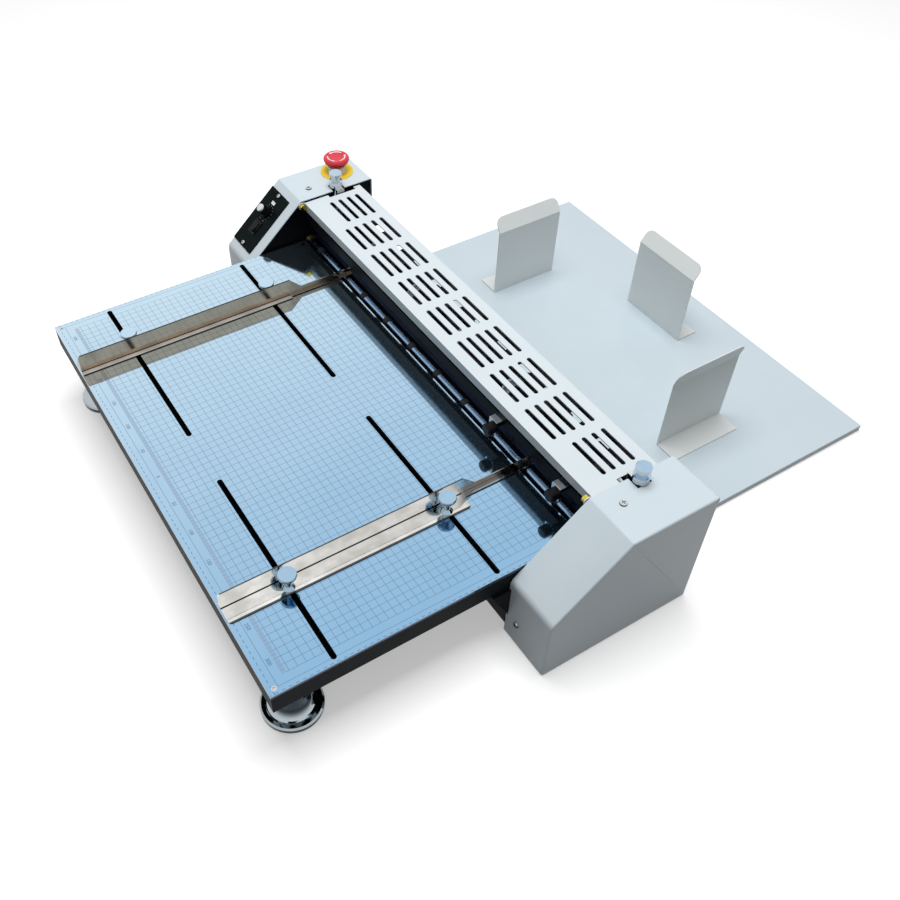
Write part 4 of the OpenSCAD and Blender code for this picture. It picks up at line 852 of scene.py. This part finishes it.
def curved_arrow():
    """One bent arrow, flat on z = 0, made by sweeping a short bar round the middle."""
    deselect()
    bpy.ops.mesh.primitive_plane_add(size=1, location=(0, 0, 0))
    arc = bpy.context.object
    arc.scale = (ARROW_WIDTH * MM, ARROW_WIDTH * MM, 1)
    arc.location = (ARROW_RADIUS * MM, 0, 0)
    bpy.ops.object.transform_apply(location=True, rotation=True, scale=True)
    bpy.ops.object.mode_set(mode="EDIT")
    bpy.ops.mesh.select_all(action="DESELECT")
    bpy.ops.mesh.select_mode(type="EDGE")
    bpy.ops.object.mode_set(mode="OBJECT")
    for vertex in arc.data.vertices:
        vertex.select = vertex.co.y > 0
    for edge in arc.data.edges:
        edge.select = all(arc.data.vertices[i].co.y > 0 for i in edge.vertices)
    bpy.ops.object.mode_set(mode="EDIT")
    bpy.ops.mesh.spin(steps=ARROW_STEPS, angle=-math.radians(ARROW_SWEEP), center=(0, 0, 0), axis=(0, 0, 1))
    bpy.ops.object.mode_set(mode="OBJECT")
    ends = [vertex.co.copy() for vertex in arc.data.vertices]
    turn = max((math.atan2(point.y, point.x) for point in ends), key=abs)
    deselect()
    bpy.ops.mesh.primitive_circle_add(vertices=3, radius=ARROW_WIDTH * ARROW_TIP * MM, fill_type="NGON")
    tip = bpy.context.object
    lean = turn + (0 if turn > 0 else math.pi)
    tip.location = (ARROW_RADIUS * MM * math.cos(turn), ARROW_RADIUS * MM * math.sin(turn), 0)
    tip.rotation_euler = (0, 0, lean)
    bpy.context.view_layer.update()
    return join([arc, tip])


def make_stop_marks():
    """Three bent arrows, laid from above onto the head's dished top."""
    centre = (head_low + head_high) / 2
    first = curved_arrow()
    turns = [math.radians(360 / ARROWS * i) for i in range(ARROWS)]
    marks = [copy_to(first, Matrix.Rotation(turn, 4, "Z")) for turn in turns]
    bpy.data.objects.remove(first)
    whole = join(marks)
    whole.matrix_world = Matrix.Translation(Vector((centre.x, centre.y, head_high.z + MARK_DROP)) * MM)
    edit_faces(whole, lambda middle, normal: True)
    bpy.ops.mesh.subdivide(number_cuts=2)
    bpy.ops.object.mode_set(mode="OBJECT")
    laid = whole.modifiers.new("laid", "SHRINKWRAP")
    laid.target = nodes["stop_head"]
    laid.wrap_method = "PROJECT"
    laid.use_project_z = True
    laid.use_negative_direction = True
    laid.use_positive_direction = False
    laid.offset = INK_MM * MM
    thick = whole.modifiers.new("ink", "SOLIDIFY")
    thick.thickness = INK_MM * MM
    thick.offset = 0
    pick(whole)
    bpy.ops.object.modifier_apply(modifier="laid")
    bpy.ops.object.modifier_apply(modifier="ink")
    settle(whole, "stop_turn_marks", "stop_head", white_ink)


# Speed knob, its scale and the panel's plain marks, placed up the slope from its foot

KNOB_UP = 80.6
KNOB_BASE = 3.0
KNOB_SKIRT_D = 19
KNOB_GRIP_D = 15.6
KNOB_SKIRT_H = 3
KNOB_H = 12
CAP_D = 12
CAP_H = 3
KNOB_RIBS = 24
GRIP_TAPER = 0.93
RIB_EDGE = 0.25
RIB_DEPTH = 0.45
GRIP_ROUND = 0.5
CAP_ROUND = 0.8
CREST_SLACK = 0.1
SIDE_BELOW = 0.3


def grip_body():
    """The knob's skirt and ribbed grip: every other side face of the grip is drawn in."""
    deselect()
    bpy.ops.mesh.primitive_cylinder_add(vertices=2 * KNOB_RIBS, radius=KNOB_SKIRT_D / 2 * MM,
                                        depth=KNOB_SKIRT_H * MM, location=(0, 0, KNOB_SKIRT_H / 2 * MM))
    body = bpy.context.object
    edit_faces(body, on_top)
    bpy.ops.mesh.inset(thickness=(KNOB_SKIRT_D - KNOB_GRIP_D) / 2 * MM)
    bpy.ops.mesh.extrude_region_move(TRANSFORM_OT_translate={"value": (0, 0, (KNOB_H - KNOB_SKIRT_H) * MM)})
    bpy.ops.transform.resize(value=(GRIP_TAPER, GRIP_TAPER, 1))
    bpy.ops.object.mode_set(mode="OBJECT")
    step = math.pi / KNOB_RIBS

    def is_rib(centre, normal):
        side = centre.z > KNOB_SKIRT_H * MM and abs(normal.z) < SIDE_BELOW
        return side and round(math.atan2(centre.y, centre.x) / step - 0.5) % 2 == 0

    edit_faces(body, is_rib)
    bpy.ops.mesh.inset(thickness=RIB_EDGE * MM, depth=-RIB_DEPTH * MM, use_individual=True)
    edit_faces(body, lambda centre, normal: on_top(centre, normal) and centre.z > (KNOB_H - CREST_SLACK) * MM)
    bpy.ops.mesh.bevel(offset=GRIP_ROUND * MM, segments=2, affect="EDGES")
    bpy.ops.object.mode_set(mode="OBJECT")
    return body


def white_cap_piece():
    """The pale cap in the knob's top, with a rounded edge."""
    deselect()
    bpy.ops.mesh.primitive_cylinder_add(vertices=ROUND_SIDES, radius=CAP_D / 2 * MM, depth=CAP_H * MM,
                                        location=(0, 0, (KNOB_H + CAP_H / 2) * MM))
    cap = bpy.context.object
    edit_faces(cap, on_top)
    bpy.ops.mesh.bevel(offset=CAP_ROUND * MM, segments=3, affect="EDGES")
    bpy.ops.object.mode_set(mode="OBJECT")
    smooth(cap)
    return cap


SCALE_RADIUS = 12.2
SCALE_STEPS = 11
SCALE_SWEEP = 270
BLANK_PLATE = (9.5, 5)
BLANK_UP = 97.5
TICK_WIDE = 0.7
TICK_LONG, TICK_SHORT = 2.2, 1.4
LONG_EVERY = 5
BAR_MM = (3.4, 0.9)
BAR_SIDE = 5
BAR_DROP = 13.6
MARK_CORNER = 0.08


def flat_mark(width, height, place):
    """A thin printed bar, width across and height up the panel, its corners cut."""
    deselect()
    bpy.ops.mesh.primitive_cube_add(size=1)
    bar = bpy.context.object
    bar.scale = (width * MM, height * MM, INK_MM * MM)
    bpy.ops.object.transform_apply(location=False, rotation=False, scale=True)
    bpy.ops.object.mode_set(mode="EDIT")
    bpy.ops.mesh.bevel(offset=min(width, height) * MARK_CORNER * MM, segments=1, affect="EDGES")
    bpy.ops.object.mode_set(mode="OBJECT")
    bar.matrix_world = place
    return bar


def make_speed_knob():
    """Ribbed grip and cap for the CAD's plain speed knob; both turn with it."""
    place = on_slope(PANEL_X, KNOB_UP, KNOB_BASE)
    body = settle(grip_body(), "speed_knob_grip", "speed_knob",
                  finishes["black_plastic"], place)
    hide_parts("speed_knob")
    settle(white_cap_piece(), "speed_knob_cap", "speed_knob", white_cap, place)


def make_panel_marks():
    """The scale's ticks, two short bars under the knob and the bare plate above it."""
    marks = []
    for i in range(SCALE_STEPS):
        turn = math.radians(SCALE_SWEEP / 2 - SCALE_SWEEP * i / (SCALE_STEPS - 1))
        spot = on_slope(PANEL_X, KNOB_UP, INK_MIDDLE, turn)
        shift = Matrix.Translation((0, SCALE_RADIUS * MM, 0))
        marks.append(flat_mark(TICK_WIDE, TICK_SHORT if i % LONG_EVERY else TICK_LONG, spot @ shift))
    for side in (-1, 1):
        spot = on_slope(PANEL_X + side * BAR_SIDE, KNOB_UP - BAR_DROP, INK_MIDDLE)
        marks.append(flat_mark(*BAR_MM, spot))
    bpy.context.view_layer.update()
    settle(join(marks), "speed_scale_marks", "machine", gold_ink)
    plate = flat_mark(*BLANK_PLATE, on_slope(PANEL_X, BLANK_UP, INK_MIDDLE))
    bpy.context.view_layer.update()
    settle(plate, "blank_plate", "machine", white_ink)


make_screw_heads()
make_ruler_numbers()
make_stop_marks()
make_speed_knob()
make_panel_marks()


# Floor, light and camera, in metres

FLOOR_SIZE = 40
FLOOR_DROP = 0.0004
FLOOR_SEEN = "#F4F4F4"
FLOOR_UNSEEN = "#5A5C5A"
FLOOR_LIFT = 0.4
SKY_LEVEL = 0.24
KEY_WATTS = 52
KEY_SIZE = 1.7
KEY_PLACE = Vector((-0.15, 0.0, 2.6))
KEY_AIM = Vector((0, 0, 0.1))


def backdrop_share(tree):
    """1 for what the camera sees, straight or in metal and gloss, and 0 for light on matt surfaces."""
    path = add(tree, "ShaderNodeLightPath")
    mirrored = maths(tree, "MAXIMUM", path.outputs["Is Glossy Ray"], path.outputs["Is Transmission Ray"])
    first = maths(tree, "LESS_THAN", path.outputs["Diffuse Depth"], 0.5)
    return maths(tree, "MAXIMUM", path.outputs["Is Camera Ray"], maths(tree, "MULTIPLY", mirrored, first))


def make_floor():
    """A pale floor that the camera and glossy surfaces see as white, with the object's shadow on it."""
    deselect()
    bpy.ops.mesh.primitive_plane_add(size=FLOOR_SIZE, location=(0, 0, -FLOOR_DROP))
    floor = bpy.context.object
    floor.name = "floor"
    material = bpy.data.materials.new("pale_floor")
    material.use_nodes = True
    tree = material.node_tree
    tree.nodes.clear()
    seen = backdrop_share(tree)
    tone = blend_colours(tree, seen, linear(FLOOR_UNSEEN), linear(FLOOR_SEEN))
    diffuse = add(tree, "ShaderNodeBsdfDiffuse", {"Color": tone})
    lift = maths(tree, "MULTIPLY", seen, FLOOR_LIFT)
    glow = add(tree, "ShaderNodeEmission", {"Color": (1, 1, 1, 1), "Strength": lift})
    both_shaders = add(tree, "ShaderNodeAddShader", {0: diffuse.outputs[0], 1: glow.outputs[0]})
    add(tree, "ShaderNodeOutputMaterial", {"Surface": both_shaders.outputs[0]})
    floor.data.materials.append(material)


def make_sky():
    """An even grey light all round, which the camera and the polished pieces see as white."""
    world = bpy.data.worlds.new("studio")
    bpy.context.scene.world = world
    world.use_nodes = True
    tree = world.node_tree
    tree.nodes.clear()
    seen = backdrop_share(tree)
    level = spread(tree, seen, SKY_LEVEL, 1.0)
    light = add(tree, "ShaderNodeBackground", {"Color": (1, 1, 1, 1), "Strength": level})
    add(tree, "ShaderNodeOutputWorld", {"Surface": light.outputs[0]})


def make_key():
    """A wide soft box overhead: it lights the paint and doesn't show as a spot in the polished board."""
    data = bpy.data.lights.new("key", "AREA")
    data.energy = KEY_WATTS
    data.size = KEY_SIZE
    lamp = bpy.data.objects.new("key", data)
    bpy.context.collection.objects.link(lamp)
    lamp.location = KEY_PLACE
    lamp.rotation_euler = (KEY_AIM - KEY_PLACE).to_track_quat("-Z", "Y").to_euler()
    lamp.visible_glossy = False


CAMERA_PLACE = (0.81391, -0.60405, 0.99967)
CAMERA_TURN_DEG = (41.610, 0.235, 58.674)
CAMERA_LENS = 38.80
CAMERA_SHIFT = (0.0635, 0.0248)
CAMERA_SENSOR = 36
CAMERA_REACH = 100


def make_camera():
    """The photo's camera, solved on the board's printed grid."""
    data = bpy.data.cameras.new("camera")
    data.sensor_width = CAMERA_SENSOR
    data.lens = CAMERA_LENS
    data.shift_x, data.shift_y = CAMERA_SHIFT
    data.clip_end = CAMERA_REACH
    camera = bpy.data.objects.new("camera", data)
    bpy.context.collection.objects.link(camera)
    camera.location = CAMERA_PLACE
    camera.rotation_euler = [math.radians(turn) for turn in CAMERA_TURN_DEG]
    bpy.context.scene.camera = camera


make_floor()
make_sky()
make_key()
make_camera()
bpy.context.scene.view_settings.view_transform = "Standard"
